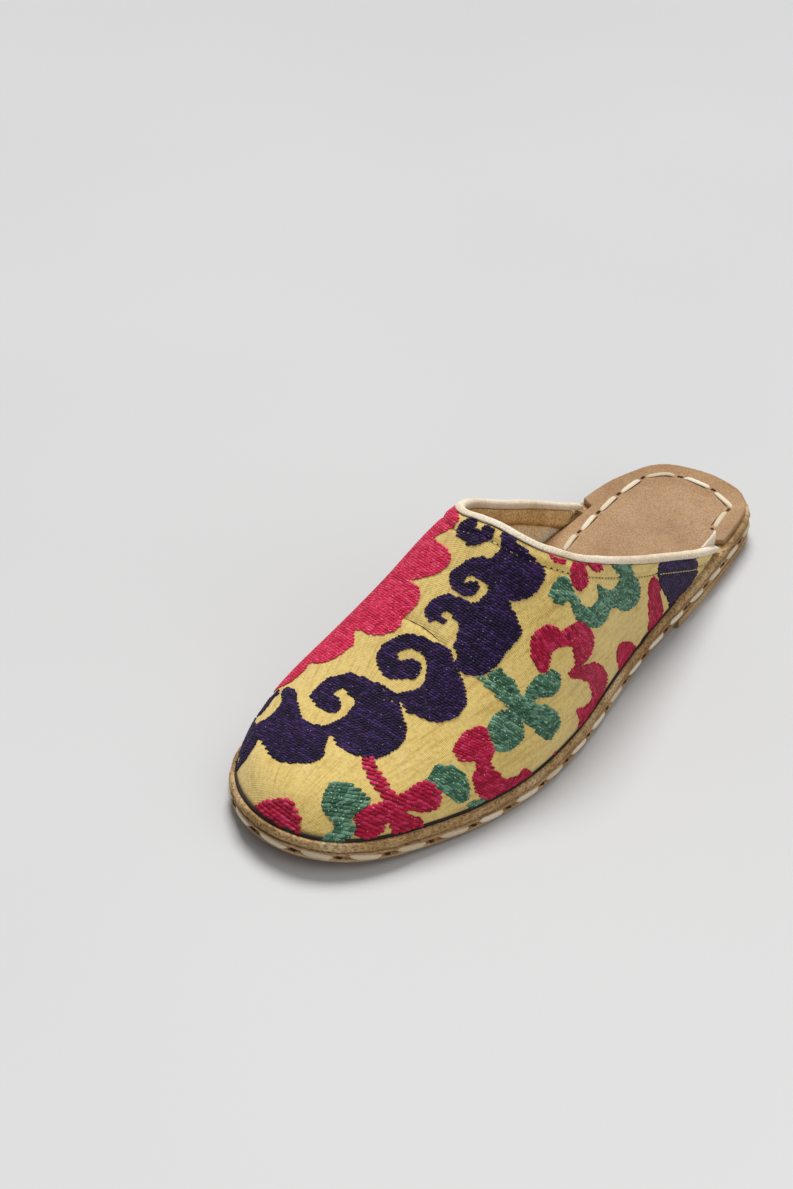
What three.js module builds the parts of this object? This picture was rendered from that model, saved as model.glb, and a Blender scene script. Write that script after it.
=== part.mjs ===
// A backless slipper for the left foot: a leather sole sewn round its side, and an embroidered
// upper with a bound top edge that leaves the heel bare.
// The toe points to -Y, the heel to +Y, and the outer side of the foot to +X. The origin is on
// the floor, under the middle of the sole.

import * as THREE from 'three';

// Main sizes, in millimetres
const soleLength = 262;
const ballWidth = 94.2;
const heelWidth = 61.5;
const instepHeight = 77;        // the ridge of the upper over the floor, at the throat
const toeSpring = 5.2;

// The layers, from the floor up
const liftThickness = 4;
const outsoleThickness = 4;
const midsoleThickness = 3.4;
const insoleThickness = 2.4;
const upperWall = 2.4;
const seatGap = 0.3;            // what glue or thread leaves between two pieces

// How the edges stand back from the outline of the sole
const liftInset = 0.4;
const edgeRound = 1;            // the worn round along the foot of an edge
const lipHeight = 2;            // of the outsole, under the stitch channel
const channelDepth = 1.2;
const channelHeight = 1.2;
const upperLipInset = 0.3;      // of the outsole, over the stitch channel
const midsoleInset = 0.2;
const midsoleBulgeDepth = 0.7;       // of the rough band, past its own top and bottom
const bulgeShare = 0.3;         // of its thickness, at which the band is full
const upperInset = 2.2;
const insoleInset = 2;          // over the bare heel
const insoleClearance = 2.4;    // between the insole and the wall of the upper
const notchLength = 2;          // of the step where the insole widens behind the upper

// The binding of the top edge
const bindingHeight = 2.8;
const bindingSwell = 0.5;       // past each side of the wall
const wingTipHeight = 1.6;      // of the wall under the binding, where a wing ends

// Where along the sole things happen, as shares of its length from the toe
const springEndShare = 0.26;
const archStartShare = 0.44;
const heelSeatStartShare = 0.74;
const liftBreastShare = 0.71;
const ballWidthEndShare = 0.35;
const heelWidthStartShare = 0.8;

// The tuck of the upper over its seam with the sole, as an angle round the section
const tuckAngle = 0.16;

// Outline of the sole: half widths on the outer and the inner side of its axis, as shares of the
// width there, which goes from the ball's to the heel's.
const outline = [
  { along: 0, outer: 0, inner: 0 },
  { along: 0.012, outer: 0.155, inner: 0.152 },
  { along: 0.05, outer: 0.285, inner: 0.308 },
  { along: 0.09, outer: 0.352, inner: 0.384 },
  { along: 0.13, outer: 0.397, inner: 0.432 },
  { along: 0.19, outer: 0.457, inner: 0.472 },
  { along: 0.25, outer: 0.496, inner: 0.481 },
  { along: 0.31, outer: 0.514, inner: 0.458 },
  { along: 0.37, outer: 0.507, inner: 0.427 },
  { along: 0.44, outer: 0.497, inner: 0.398 },
  { along: 0.52, outer: 0.486, inner: 0.389 },
  { along: 0.6, outer: 0.495, inner: 0.411 },
  { along: 0.68, outer: 0.522, inner: 0.454 },
  { along: 0.76, outer: 0.529, inner: 0.498 },
  { along: 0.83, outer: 0.493, inner: 0.512 },
  { along: 0.89, outer: 0.447, inner: 0.496 },
  { along: 0.93, outer: 0.41, inner: 0.455 },
  { along: 0.965, outer: 0.346, inner: 0.39 },
  { along: 0.989, outer: 0.221, inner: 0.262 },
  { along: 1, outer: 0, inner: 0 },
];

// Sections of the last: the rise of its ridge over the seam as a share of the instep's rise, how
// far the ridge lies to the outer side as a share of the ball width, and how square the section is.
const sections = [
  { along: 0, rise: 0, lean: 0, square: 2.1 },
  { along: 0.012, rise: 0.1, lean: 0, square: 2.1 },
  { along: 0.05, rise: 0.178, lean: 0, square: 2.05 },
  { along: 0.09, rise: 0.232, lean: 0, square: 2.05 },
  { along: 0.13, rise: 0.288, lean: 0, square: 2 },
  { along: 0.19, rise: 0.385, lean: 0.01, square: 1.95 },
  { along: 0.25, rise: 0.505, lean: 0.015, square: 1.9 },
  { along: 0.31, rise: 0.655, lean: 0.02, square: 1.9 },
  { along: 0.37, rise: 0.825, lean: 0.03, square: 1.95 },
  { along: 0.425, rise: 1, lean: 0.04, square: 2 },
  { along: 0.5, rise: 1.1, lean: 0.04, square: 2 },
  { along: 0.6, rise: 1.1, lean: 0.03, square: 2 },
  { along: 0.75, rise: 1, lean: 0.01, square: 2 },
  { along: 1, rise: 0.9, lean: 0, square: 2 },
];

// The top edge, from the throat back to the tip of each wing. The line that leaves the seam at
// along meets the edge at top, both as shares of the sole's length; around is the angle there,
// from the seam on that side up to the ridge at 90 degrees.
const outerTopline = [
  { along: 0, top: 0.422, around: 90 },
  { along: 0.08, top: 0.423, around: 78 },
  { along: 0.18, top: 0.431, around: 67 },
  { along: 0.28, top: 0.449, around: 57 },
  { along: 0.36, top: 0.478, around: 46.5 },
  { along: 0.45, top: 0.535, around: 34.4 },
  { along: 0.55, top: 0.61, around: 22.6 },
  { along: 0.65, top: 0.68, around: 14 },
  { along: 0.76, top: 0.765, around: 3.4 },
  { along: 0.845, top: 0.842, around: -6 },
];
const innerTopline = [
  { along: 0, top: 0.422, around: 90 },
  { along: 0.08, top: 0.424, around: 79 },
  { along: 0.18, top: 0.432, around: 68 },
  { along: 0.28, top: 0.452, around: 57.5 },
  { along: 0.36, top: 0.485, around: 46.5 },
  { along: 0.45, top: 0.545, around: 33.3 },
  { along: 0.55, top: 0.615, around: 21.3 },
  { along: 0.65, top: 0.685, around: 11.8 },
  { along: 0.74, top: 0.75, around: 2.2 },
  { along: 0.81, top: 0.81, around: -6 },
];

// How finely each form is divided
const soleSteps = 48;
const liftSteps = 18;
const upperLines = { outer: 34, inner: 32 };
const upperRings = 11;
const lengthSamples = 24;
const slopeStepAngle = 0.02;

// Both ends of the foot close roundly when its stations are spaced by an angle, 0 at the toe
// and PI at the heel.
const turnAt = (along) => Math.acos(1 - 2 * along);
const alongAt = (turn) => (1 - Math.cos(turn)) / 2;

// A smooth line through one column of a table, read at an angle along the foot.
function follow(table, column, turn) {
  const at = (k) => turnAt(table[k].along);
  const slope = (k) => {
    const before = Math.max(k - 1, 0);
    const after = Math.min(k + 1, table.length - 1);
    return (table[after][column] - table[before][column]) / (at(after) - at(before));
  };
  let k = 1;
  while (k < table.length - 1 && at(k) < turn) k += 1;
  const span = at(k) - at(k - 1);
  const t = (turn - at(k - 1)) / span;
  const rise = table[k][column] - table[k - 1][column];
  const bend = t * (1 - t) * ((slope(k - 1) * span - rise) * (1 - t) - (slope(k) * span - rise) * t);
  return table[k - 1][column] + rise * t + bend;
}

// The outline of the sole

function widthAt(along) {
  const toHeel = THREE.MathUtils.smoothstep(along, ballWidthEndShare, heelWidthStartShare);
  return THREE.MathUtils.lerp(ballWidth, heelWidth, toHeel);
}

function halfWidth(side, turn) {
  return follow(outline, side > 0 ? 'outer' : 'inner', turn) * widthAt(alongAt(turn));
}

// The axis stands off the middle, so that the widest places lie evenly on both sides of X = 0.
const evenTurns = Array.from({ length: soleSteps + 1 }, (_, i) => (Math.PI * i) / soleSteps);
const widest = (side) => Math.max(...evenTurns.map((turn) => halfWidth(side, turn)));
const axisX = (widest(-1) - widest(1)) / 2;

function rim(side, turn) {
  if (turn < 0) return rim(-side, -turn);
  if (turn > Math.PI) return rim(-side, 2 * Math.PI - turn);
  const x = axisX + side * halfWidth(side, turn);
  return new THREE.Vector2(x, (alongAt(turn) - 0.5) * soleLength);
}

function edge(side, turn, inset) {
  const run = rim(side, turn + slopeStepAngle).sub(rim(side, turn - slopeStepAngle)).normalize();
  return rim(side, turn).add(new THREE.Vector2(-run.y, run.x).multiplyScalar(side * inset));
}

// Heights over the floor

function treadAt(y) {
  const along = y / soleLength + 0.5;
  const spring = Math.max(1 - along / springEndShare, 0) ** 2;
  const rise = THREE.MathUtils.smoothstep(along, archStartShare, heelSeatStartShare);
  return toeSpring * spring + (liftThickness + seatGap) * rise;
}

const midsoleFoot = outsoleThickness + seatGap;
const seatHeight = midsoleFoot + midsoleThickness + seatGap;
const seatAt = (y) => treadAt(y) + seatHeight;

// Closed meshes

function meshOf(name, points, faces, colour, roughness) {
  const geometry = new THREE.BufferGeometry();
  const positions = points.flatMap((point) => [point.x, point.y, point.z]);
  geometry.setAttribute('position', new THREE.Float32BufferAttribute(positions, 3));
  geometry.setIndex(faces.filter(([a, b, c]) => a !== b && b !== c && c !== a).flat());
  geometry.computeVertexNormals();
  const material = new THREE.MeshStandardMaterial({ color: colour, roughness, metalness: 0 });
  const mesh = new THREE.Mesh(geometry, material);
  mesh.name = name;
  return mesh;
}

const quad = (a, b, c, d) => [[a, b, c], [a, c, d]];

// A layer of the sole: rings round its edge, from its underside to its top. A ring has its inset
// from the outline and its height at a place. The top and the underside run straight across.
function layer(name, turns, rings, colour, roughness) {
  const outer = turns.map((turn) => ({ side: 1, turn }));
  const inner = turns.map((turn) => ({ side: -1, turn })).reverse().slice(1);
  const tip = turns[0] === 0;
  if (tip) inner.pop();
  const places = [...outer, ...inner];
  const count = places.length;
  const opposite = (i) => (tip ? (count - i) % count : count - 1 - i);
  const points = rings.flatMap(({ inset, height }) => places.map(({ side, turn }) => {
    const at = edge(side, turn, typeof inset === 'function' ? inset(side, turn) : inset);
    return new THREE.Vector3(at.x, at.y, height(at.y));
  }));
  const top = (rings.length - 1) * count;
  const faces = [];
  for (let i = 0; i < turns.length - 1; i += 1) {
    const corners = [i, i + 1, opposite(i + 1), opposite(i)];
    faces.push(...quad(...[...corners].reverse()));
    faces.push(...quad(...corners.map((corner) => corner + top)));
  }
  for (let low = 0; low < top; low += count) {
    for (let i = 0; i < count; i += 1) {
      const next = (i + 1) % count;
      faces.push(...quad(low + i, low + next, low + count + next, low + count + i));
    }
  }
  return meshOf(name, points, faces, colour, roughness);
}

function heelLift() {
  const start = turnAt(liftBreastShare);
  const turns = Array.from({ length: liftSteps + 1 },
    (_, i) => start + ((Math.PI - start) * i) / liftSteps);
  const rings = [
    { inset: liftInset + edgeRound, height: () => 0 },
    { inset: liftInset, height: () => edgeRound },
    { inset: liftInset, height: (y) => treadAt(y) - seatGap },
  ];
  return layer('heel_lift', turns, rings, '#b8935f', 0.7);
}

function outsole() {
  const channelTop = lipHeight + channelHeight;
  const rings = [
    { inset: edgeRound, height: treadAt },
    { inset: 0, height: (y) => treadAt(y) + edgeRound },
    { inset: 0, height: (y) => treadAt(y) + lipHeight },
    { inset: channelDepth, height: (y) => treadAt(y) + lipHeight },
    { inset: channelDepth, height: (y) => treadAt(y) + channelTop },
    { inset: upperLipInset, height: (y) => treadAt(y) + channelTop },
    { inset: upperLipInset, height: (y) => treadAt(y) + outsoleThickness },
  ];
  return layer('outsole', evenTurns, rings, '#b8935f', 0.7);
}

function midsole() {
  const height = (share) => (y) => treadAt(y) + midsoleFoot + share * midsoleThickness;
  const rings = [
    { inset: midsoleInset + midsoleBulgeDepth, height: height(0) },
    { inset: midsoleInset, height: height(bulgeShare) },
    { inset: midsoleInset, height: height(1 - bulgeShare) },
    { inset: midsoleInset + midsoleBulgeDepth, height: height(1) },
  ];
  return layer('midsole', evenTurns, rings, '#a88658', 0.95);
}

const wingEnd = (side) => (side > 0 ? outerTopline : innerTopline).at(-1).along;

function insole() {
  const inside = upperInset + upperWall + insoleClearance;
  const notch = (side) => wingEnd(side) + insoleClearance / soleLength;
  const inset = (side, turn) => {
    const widen = (alongAt(turn) - notch(side)) * (soleLength / notchLength);
    return THREE.MathUtils.lerp(inside, insoleInset, THREE.MathUtils.clamp(widen, 0, 1));
  };
  const notchTurns = [1, -1].flatMap((side) => [0, notchLength / soleLength]
    .map((past) => turnAt(notch(side) + past)));
  const turns = [...evenTurns, ...notchTurns].sort((a, b) => a - b);
  const rings = [
    { inset, height: seatAt },
    { inset, height: (y) => seatAt(y) + insoleThickness },
  ];
  return layer('insole', turns, rings, '#c09a6b', 0.6);
}

// The last that the upper is drawn over. A direction from the middle of a ball gives a place on
// it: how far along the foot, and how far round the section there.

const power = (value, exponent) => Math.sign(value) * Math.abs(value) ** exponent;

function lastPoint(direction) {
  const turn = Math.acos(THREE.MathUtils.clamp(-direction.y, -1, 1));
  const around = Math.atan2(direction.z, direction.x);
  const swell = 2 / follow(sections, 'square', turn);
  const low = power(Math.sin(tuckAngle), swell);
  const across = power(Math.cos(around), swell) / power(Math.cos(tuckAngle), swell);
  const up = (power(Math.sin(around), swell) + low) / (1 + low);
  const outer = edge(1, turn, upperInset);
  const inner = edge(-1, turn, upperInset);
  const at = inner.clone().lerp(outer, (1 + across) / 2);
  const lean = follow(sections, 'lean', turn) * ballWidth * up ** 2;
  const rise = (instepHeight - seatHeight) * follow(sections, 'rise', turn) * up;
  return new THREE.Vector3(at.x + lean, at.y, seatAt(at.y) + rise);
}

function directionOf(turn, around) {
  const radius = Math.sin(turn);
  return new THREE.Vector3(radius * Math.cos(around), -Math.cos(turn), radius * Math.sin(around));
}

// The helper is a direction that no part of the upper faces.
function lastNormal(direction) {
  const helper = new THREE.Vector3(0, 1, 1).normalize();
  const a = helper.clone().cross(direction).normalize();
  const b = direction.clone().cross(a);
  const beside = (axis, step) => lastPoint(direction.clone().addScaledVector(axis, step).normalize());
  const alongA = beside(a, slopeStepAngle).sub(beside(a, -slopeStepAngle));
  const alongB = beside(b, slopeStepAngle).sub(beside(b, -slopeStepAngle));
  return alongA.cross(alongB).normalize();
}

// The lines of the upper run from the seam up to the top edge, as arcs of the ball. The first
// leaves the tip of the outer wing, the last the tip of the inner wing.
function upperLine(side, turn) {
  const table = side > 0 ? outerTopline : innerTopline;
  const around = THREE.MathUtils.degToRad(follow(table, 'around', turn));
  const top = directionOf(turnAt(follow(table, 'top', turn)), side > 0 ? around : Math.PI - around);
  const foot = directionOf(turn, side > 0 ? -tuckAngle : Math.PI + tuckAngle);
  const angle = foot.angleTo(top);
  const at = (share) => foot.clone().multiplyScalar(Math.sin((1 - share) * angle))
    .addScaledVector(top, Math.sin(share * angle)).normalize();
  const lengths = [0];
  for (let i = 1; i <= lengthSamples; i += 1) {
    const from = lastPoint(at((i - 1) / lengthSamples));
    lengths.push(lengths[i - 1] + from.distanceTo(lastPoint(at(i / lengthSamples))));
  }
  const length = lengths.at(-1);
  const directionAt = (distance) => {
    const i = Math.max(lengths.findIndex((passed) => passed >= distance), 1);
    const part = (distance - lengths[i - 1]) / (lengths[i] - lengths[i - 1]);
    return at((i - 1 + part) / lengthSamples);
  };
  return { length, directionAt };
}

function upperLinesInOrder() {
  const half = (side, count) => Array.from({ length: count }, (_, i) =>
    upperLine(side, (turnAt(wingEnd(side)) * (count - i)) / count));
  return [...half(1, upperLines.outer), upperLine(1, 0), ...half(-1, upperLines.inner).reverse()];
}

function upper(lines) {
  const trimmed = bindingHeight + seatGap;
  const covered = lines.filter((line) => line.length - trimmed > wingTipHeight);
  const points = [];
  const faces = [];
  const rings = upperRings + 1;
  for (const line of covered) {
    for (let k = 0; k < rings; k += 1) {
      const direction = line.directionAt((line.length - trimmed) * (k / upperRings));
      const out = lastPoint(direction);
      const inside = out.clone().addScaledVector(lastNormal(direction), -upperWall);
      if (k === 0) inside.z = seatAt(inside.y);
      points.push(out, inside);
    }
  }
  const at = (line, ring, inner) => (line * rings + ring) * 2 + inner;
  for (let i = 0; i < covered.length - 1; i += 1) {
    for (let k = 0; k < upperRings; k += 1) {
      faces.push(...quad(at(i, k, 0), at(i, k + 1, 0), at(i + 1, k + 1, 0), at(i + 1, k, 0)));
      faces.push(...quad(at(i, k, 1), at(i + 1, k, 1), at(i + 1, k + 1, 1), at(i, k + 1, 1)));
    }
    faces.push(...quad(at(i, 0, 0), at(i + 1, 0, 0), at(i + 1, 0, 1), at(i, 0, 1)));
    faces.push(...quad(at(i, upperRings, 0), at(i, upperRings, 1),
      at(i + 1, upperRings, 1), at(i + 1, upperRings, 0)));
  }
  const last = covered.length - 1;
  for (let k = 0; k < upperRings; k += 1) {
    faces.push(...quad(at(0, k, 0), at(0, k, 1), at(0, k + 1, 1), at(0, k + 1, 0)));
    faces.push(...quad(at(last, k, 0), at(last, k + 1, 0), at(last, k + 1, 1), at(last, k, 1)));
  }
  return meshOf('upper', points, faces, '#e3c878', 0.8);
}

// The binding sits on the edge of the wall, swells past both its sides and is round on top.
const bindingSection = [
  { up: 0, out: 1 },
  { up: 0.5, out: 1 },
  { up: 0.85, out: 0.7 },
  { up: 1, out: 0 },
  { up: 0.85, out: -0.7 },
  { up: 0.5, out: -1 },
  { up: 0, out: -1 },
];

function binding(lines) {
  const halfThick = upperWall / 2 + bindingSwell;
  const points = [];
  for (const line of lines) {
    const direction = line.directionAt(line.length - bindingHeight);
    const normal = lastNormal(direction);
    const foot = lastPoint(direction).addScaledVector(normal, -upperWall / 2);
    const top = lastPoint(line.directionAt(line.length)).addScaledVector(normal, -upperWall / 2);
    for (const { up, out } of bindingSection) {
      points.push(foot.clone().lerp(top, up).addScaledVector(normal, out * halfThick));
    }
  }
  const size = bindingSection.length;
  const faces = [];
  for (let i = 0; i < lines.length - 1; i += 1) {
    for (let k = 0; k < size; k += 1) {
      const next = (k + 1) % size;
      faces.push(...quad(i * size + k, i * size + next, (i + 1) * size + next, (i + 1) * size + k));
    }
  }
  const last = (lines.length - 1) * size;
  for (let k = 1; k < size - 1; k += 1) {
    faces.push([0, k + 1, k], [last, last + k, last + k + 1]);
  }
  return meshOf('binding', points, faces, '#e8dccb', 0.75);
}

const slipper = new THREE.Group();
const lines = upperLinesInOrder();
slipper.add(heelLift(), outsole(), midsole(), insole(), upper(lines), binding(lines));

export default slipper;
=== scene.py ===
"""Looks of the embroidered slipper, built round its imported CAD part."""

import math
import random

import bmesh
import bpy
import numpy as np
from mathutils import Matrix, Vector, kdtree, noise
from mathutils.bvhtree import BVHTree


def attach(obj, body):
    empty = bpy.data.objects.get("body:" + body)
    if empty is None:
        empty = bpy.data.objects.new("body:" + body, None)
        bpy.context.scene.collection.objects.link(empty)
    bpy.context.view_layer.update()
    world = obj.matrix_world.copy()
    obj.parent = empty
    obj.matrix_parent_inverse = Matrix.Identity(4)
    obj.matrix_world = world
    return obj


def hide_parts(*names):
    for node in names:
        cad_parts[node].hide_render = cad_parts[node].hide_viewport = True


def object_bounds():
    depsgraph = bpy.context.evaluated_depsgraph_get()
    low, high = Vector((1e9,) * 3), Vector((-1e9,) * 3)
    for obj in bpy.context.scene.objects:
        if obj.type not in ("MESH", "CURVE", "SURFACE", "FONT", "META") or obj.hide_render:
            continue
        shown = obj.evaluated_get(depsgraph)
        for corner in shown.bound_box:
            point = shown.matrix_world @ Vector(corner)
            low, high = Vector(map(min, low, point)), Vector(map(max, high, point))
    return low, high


bl_info = {
    "name": "Embroidered Slipper",
    "version": (1, 0, 0),
    "blender": (4, 5, 0),
    "location": "3D View > Sidebar > Slipper",
    "description": "Dresses the slipper's frame in cloth, thread and leather",
    "category": "Object",
}

MM = 0.001
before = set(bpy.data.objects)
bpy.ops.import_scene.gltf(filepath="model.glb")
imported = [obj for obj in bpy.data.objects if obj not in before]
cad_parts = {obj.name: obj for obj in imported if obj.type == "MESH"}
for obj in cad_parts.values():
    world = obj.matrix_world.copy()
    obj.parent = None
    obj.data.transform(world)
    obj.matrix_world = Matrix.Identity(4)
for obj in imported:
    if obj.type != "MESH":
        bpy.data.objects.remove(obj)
CAD_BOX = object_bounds()


# Colours and nodes

def linear(code):
    """An sRGB hex colour as linear red, green and blue."""
    parts = [int(code[i:i + 2], 16) / 255 for i in (1, 3, 5)]
    return [p / 12.92 if p <= 0.04045 else ((p + 0.055) / 1.055) ** 2.4 for p in parts]


def add(tree, kind, inputs=None, stops=None, **settings):
    """Adds a node with its settings, colour stops and links, and gives it back."""
    node = tree.nodes.new("ShaderNode" + kind)
    for name, value in settings.items():
        setattr(node, name, value)
    for name, value in (inputs or {}).items():
        if isinstance(value, bpy.types.NodeSocket):
            tree.links.new(value, node.inputs[name])
        else:
            node.inputs[name].default_value = value
    if stops:
        ramp = node.color_ramp
        while len(ramp.elements) < len(stops):
            ramp.elements.new(0.5)
        for element, (place, code) in zip(ramp.elements, stops):
            element.position = place
            element.color = (*(linear(code) if isinstance(code, str) else code), 1)
    return node


def start_material(name):
    """A new material with an empty tree."""
    material = bpy.data.materials.new(name)
    material.use_nodes = True
    material.node_tree.nodes.clear()
    return material, material.node_tree


def end_material(tree, **inputs):
    """Closes a tree with its surface shader."""
    names = {key.replace("_", " "): value for key, value in inputs.items()}
    shader = add(tree, "BsdfPrincipled", names)
    add(tree, "OutputMaterial", {"Surface": shader.outputs[0]})


# Where things are, read from the frame

SOLE_LENGTH = CAD_BOX[1][1] - CAD_BOX[0][1]
LIFT = 0.0043           # the outsole over the floor at the heel
LIFT_FROM = 0.44        # where it starts to rise to that, as a share of the length from the toe
LIFT_OVER = 0.3         # the share of the length that this rise takes
SPRING = 0.0052         # the outsole over the floor at the toe's tip
SPRING_OVER = 0.26      # the share of the length that springs up to it
SEAM = 0.0088           # the upper's lower edge over the tread
MIDSOLE_TOP = 0.0082    # the midsole's top over the tread
CHANNEL = 0.0026        # the stitch channel over the tread
OPENING = (0, 0.05)     # a point in the middle of the opening, seen from above
OUTSIDE = 0.2           # past every part of the slipper: rays start or end this far out
STEP = 0.0005           # from one place to the next on a walk over a surface
CREST_STEP = 0.0015     # from one place to the next along the crest of the binding


def tread(y):
    """Height of the sole's underside over the floor."""
    along = y / SOLE_LENGTH + 0.5
    step = min(max((along - LIFT_FROM) / LIFT_OVER, 0), 1)
    return SPRING * max(1 - along / SPRING_OVER, 0) ** 2 + LIFT * step * step * (3 - 2 * step)


# The camera stands where the photograph was taken from. Motifs are charted in its pixels.
AZIMUTH = math.radians(38.0)
ELEVATION = math.radians(35.32)
DISTANCE = 0.98117
AIM = Vector((-0.04316, -0.01234, 0.020))
FOCAL = 2789.0
PHOTO = (793, 1189)
CLOTH_PIXEL = Vector((430, 650))        # a pixel in the middle of the cloth
SENSOR = 36                             # millimetres along the picture's long side

BACK = Vector((math.sin(AZIMUTH) * math.cos(ELEVATION),
               -math.cos(AZIMUTH) * math.cos(ELEVATION), math.sin(ELEVATION)))
RIGHT = Vector((math.cos(AZIMUTH), math.sin(AZIMUTH), 0))
UP = BACK.cross(RIGHT)
EYE = AIM + BACK * DISTANCE


def sight(x, y):
    """The direction in which the camera sees a pixel of the photograph."""
    across = (x - PHOTO[0] / 2) / FOCAL
    down = (y - PHOTO[1] / 2) / FOCAL
    return (RIGHT * across - UP * down - BACK).normalized()


# The row of stitches below the binding, and how it pulls the cloth in and lets it puff up above
TOPSTITCH_BELOW = 0.0072        # from the crest of the binding down to the row
TOPSTITCH_PITCH = 0.0022
FURROW_DEPTH = 0.0004
FURROW_WIDTH = 0.0009
PUFF_HEIGHT = 0.0003
PUFF_WIDTH = 0.0016
PUFF_ABOVE = 0.0024             # from the row up to the middle of the puff

# The cloth's own lumps
LUMP_HEIGHT = 0.00018
LUMP_SIZE = 0.021

# Soft troughs (below 0) and ridges of the cloth: pixels of the photograph, width in mm, depth share
CREASES = [
    ([(403, 617), (415, 623), (430, 632), (443, 645)], 1.1, -0.8),
    ([(448, 570), (444, 585), (441, 600)], 2.5, -0.5),
    ([(612, 632), (606, 650), (600, 668)], 2.2, 0.7),
    ([(622, 615), (612, 640), (606, 662)], 2.0, -0.7),
    ([(640, 610), (643, 630), (640, 645)], 2.0, 0.6),
    ([(560, 700), (572, 690), (585, 685)], 2.4, -0.6),
    ([(555, 740), (567, 728), (575, 715)], 2.4, 0.5),
    ([(462, 715), (475, 708), (486, 700)], 3.0, 0.5),
    ([(300, 780), (312, 772), (330, 768)], 3.0, -0.5),
]

# The row of stitches on the heel seat, seen from above
INSOLE_ROW = [(-17.4, 52.1), (-19.4, 65.1), (-21.4, 82.1), (-22.4, 96.1), (-21.4, 112.1),
              (-16.4, 118.1), (-7.4, 121.1), (4.6, 120.1), (15.6, 114.1), (16.6, 105.1),
              (18.6, 94.1), (18.6, 86.1)]
INSOLE_STITCH = 0.0128
INSOLE_PITCH = 0.0152


# Meshes

def merged(name):
    """A copy of a CAD node as one closed mesh of quads."""
    bm = bmesh.new()
    bm.from_mesh(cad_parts[name].data)
    bmesh.ops.remove_doubles(bm, verts=bm.verts, dist=1e-5)
    bmesh.ops.join_triangles(bm, faces=bm.faces, angle_face_threshold=math.radians(30),
                             angle_shape_threshold=math.radians(80))
    return bm


def crease_sharp(bm, angle, strength):
    """Creases the sharp edges, so that subdivision keeps them."""
    layer = bm.edges.layers.float.get("crease_edge") or bm.edges.layers.float.new("crease_edge")
    for edge in bm.edges:
        if len(edge.link_faces) == 2 and edge.calc_face_angle() > angle:
            edge[layer] = strength


def finished(bm, name, *materials, smooth=True):
    """Turns a bmesh into a piece that rides on the slipper."""
    mesh = bpy.data.meshes.new(name)
    bm.to_mesh(mesh)
    bm.free()
    return piece_of(mesh, name, *materials, smooth=smooth)


def piece_of(mesh, name, *materials, smooth=True):
    """Makes an object of a mesh, at the origin, riding on the slipper."""
    mesh.name = name
    for material in materials:
        mesh.materials.append(material)
    mesh.polygons.foreach_set("use_smooth", [smooth] * len(mesh.polygons))
    piece = bpy.data.objects.new(name, mesh)
    bpy.context.scene.collection.objects.link(piece)
    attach(piece, "root")
    return piece


def subdivided(bm, levels):
    """The mesh after subdivision, with nothing left live."""
    mesh = bpy.data.meshes.new("working")
    bm.to_mesh(mesh)
    bm.free()
    thing = bpy.data.objects.new("working", mesh)
    bpy.context.scene.collection.objects.link(thing)
    modifier = thing.modifiers.new("Subdivision", "SUBSURF")
    modifier.levels = modifier.render_levels = levels
    depsgraph = bpy.context.evaluated_depsgraph_get()
    result = bpy.data.meshes.new_from_object(thing.evaluated_get(depsgraph))
    bpy.data.objects.remove(thing)
    bpy.data.meshes.remove(mesh)
    return result


def tree_of(mesh, keep=lambda centre, normal: True):
    """A search tree of the faces that keep lets in."""
    points = [v.co.copy() for v in mesh.vertices]
    faces = [tuple(p.vertices) for p in mesh.polygons if keep(p.center, p.normal)]
    return BVHTree.FromPolygons(points, faces)


def lump(point, size, seed):
    """Smooth noise of about -1 to 1 at a place, for lumps of a size."""
    return noise.noise(point / size + Vector((seed * 7.1, seed * 3.7, seed * 5.3)))


def displace(mesh, moved):
    """Moves each vertex by what moved says of its place and its normal."""
    places = [(v.co.copy(), v.normal.copy()) for v in mesh.vertices]
    for v, (point, normal) in zip(mesh.vertices, places):
        v.co = point + moved(point, normal)


def core(point):
    """The place inside the slipper's hollow that a point of the upper stands round."""
    return Vector((0, min(max(point.y, -0.07), 0.06), 0.012))


def faces_out(point, normal):
    """Whether a face or vertex of the upper is on its outer side."""
    return normal.dot(point - core(point)) > 0


def even(line, step):
    """The same line with evenly spaced points."""
    lengths = [0]
    for a, b in zip(line, line[1:]):
        lengths.append(lengths[-1] + (b - a).length)
    count = max(round(lengths[-1] / step), 1)
    result, k = [], 0
    for i in range(count + 1):
        want = lengths[-1] * i / count
        while k < len(line) - 2 and lengths[k + 1] < want:
            k += 1
        share = (want - lengths[k]) / max(lengths[k + 1] - lengths[k], 1e-9)
        result.append(line[k].lerp(line[k + 1], share))
    return result


def near_line(line):
    """A search tree of a line's points, for distances to it."""
    points = even(line, 0.0004)
    tree = kdtree.KDTree(len(points))
    for k, point in enumerate(points):
        tree.insert(point, k)
    tree.balance()
    return tree


class Skin:
    """One side of the upper: finds places on it and walks over it."""

    def __init__(self, tree):
        self.tree = tree

    def drop(self, point):
        place, normal, _, _ = self.tree.find_nearest(point)
        return place, normal

    def seen(self, pixel):
        """Where the camera sees a pixel; one past the cloth's edge is drawn in to it."""
        spot = Vector(pixel)
        inward = (CLOTH_PIXEL - spot).normalized()
        for step in range(60):
            x, y = spot + inward * step * 0.5
            place, normal, _, _ = self.tree.ray_cast(EYE, sight(x, y))
            if place:
                return place, normal
        raise RuntimeError(f"No cloth at {pixel}")

    def stroll(self, start, heading, distance, step=STEP):
        """Walks over the surface in a heading and returns each place with its normal."""
        place, normal = self.drop(start)
        track = [(place, normal)]
        for _ in range(max(round(distance / step), 1)):
            ahead = heading - normal * heading.dot(normal)
            ahead.normalize()
            after, turned = self.drop(place + ahead * step)
            if (after - place).length < step * 0.3:
                break
            place, normal, heading = after, turned, ahead
            track.append((place, normal))
        return track


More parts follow.
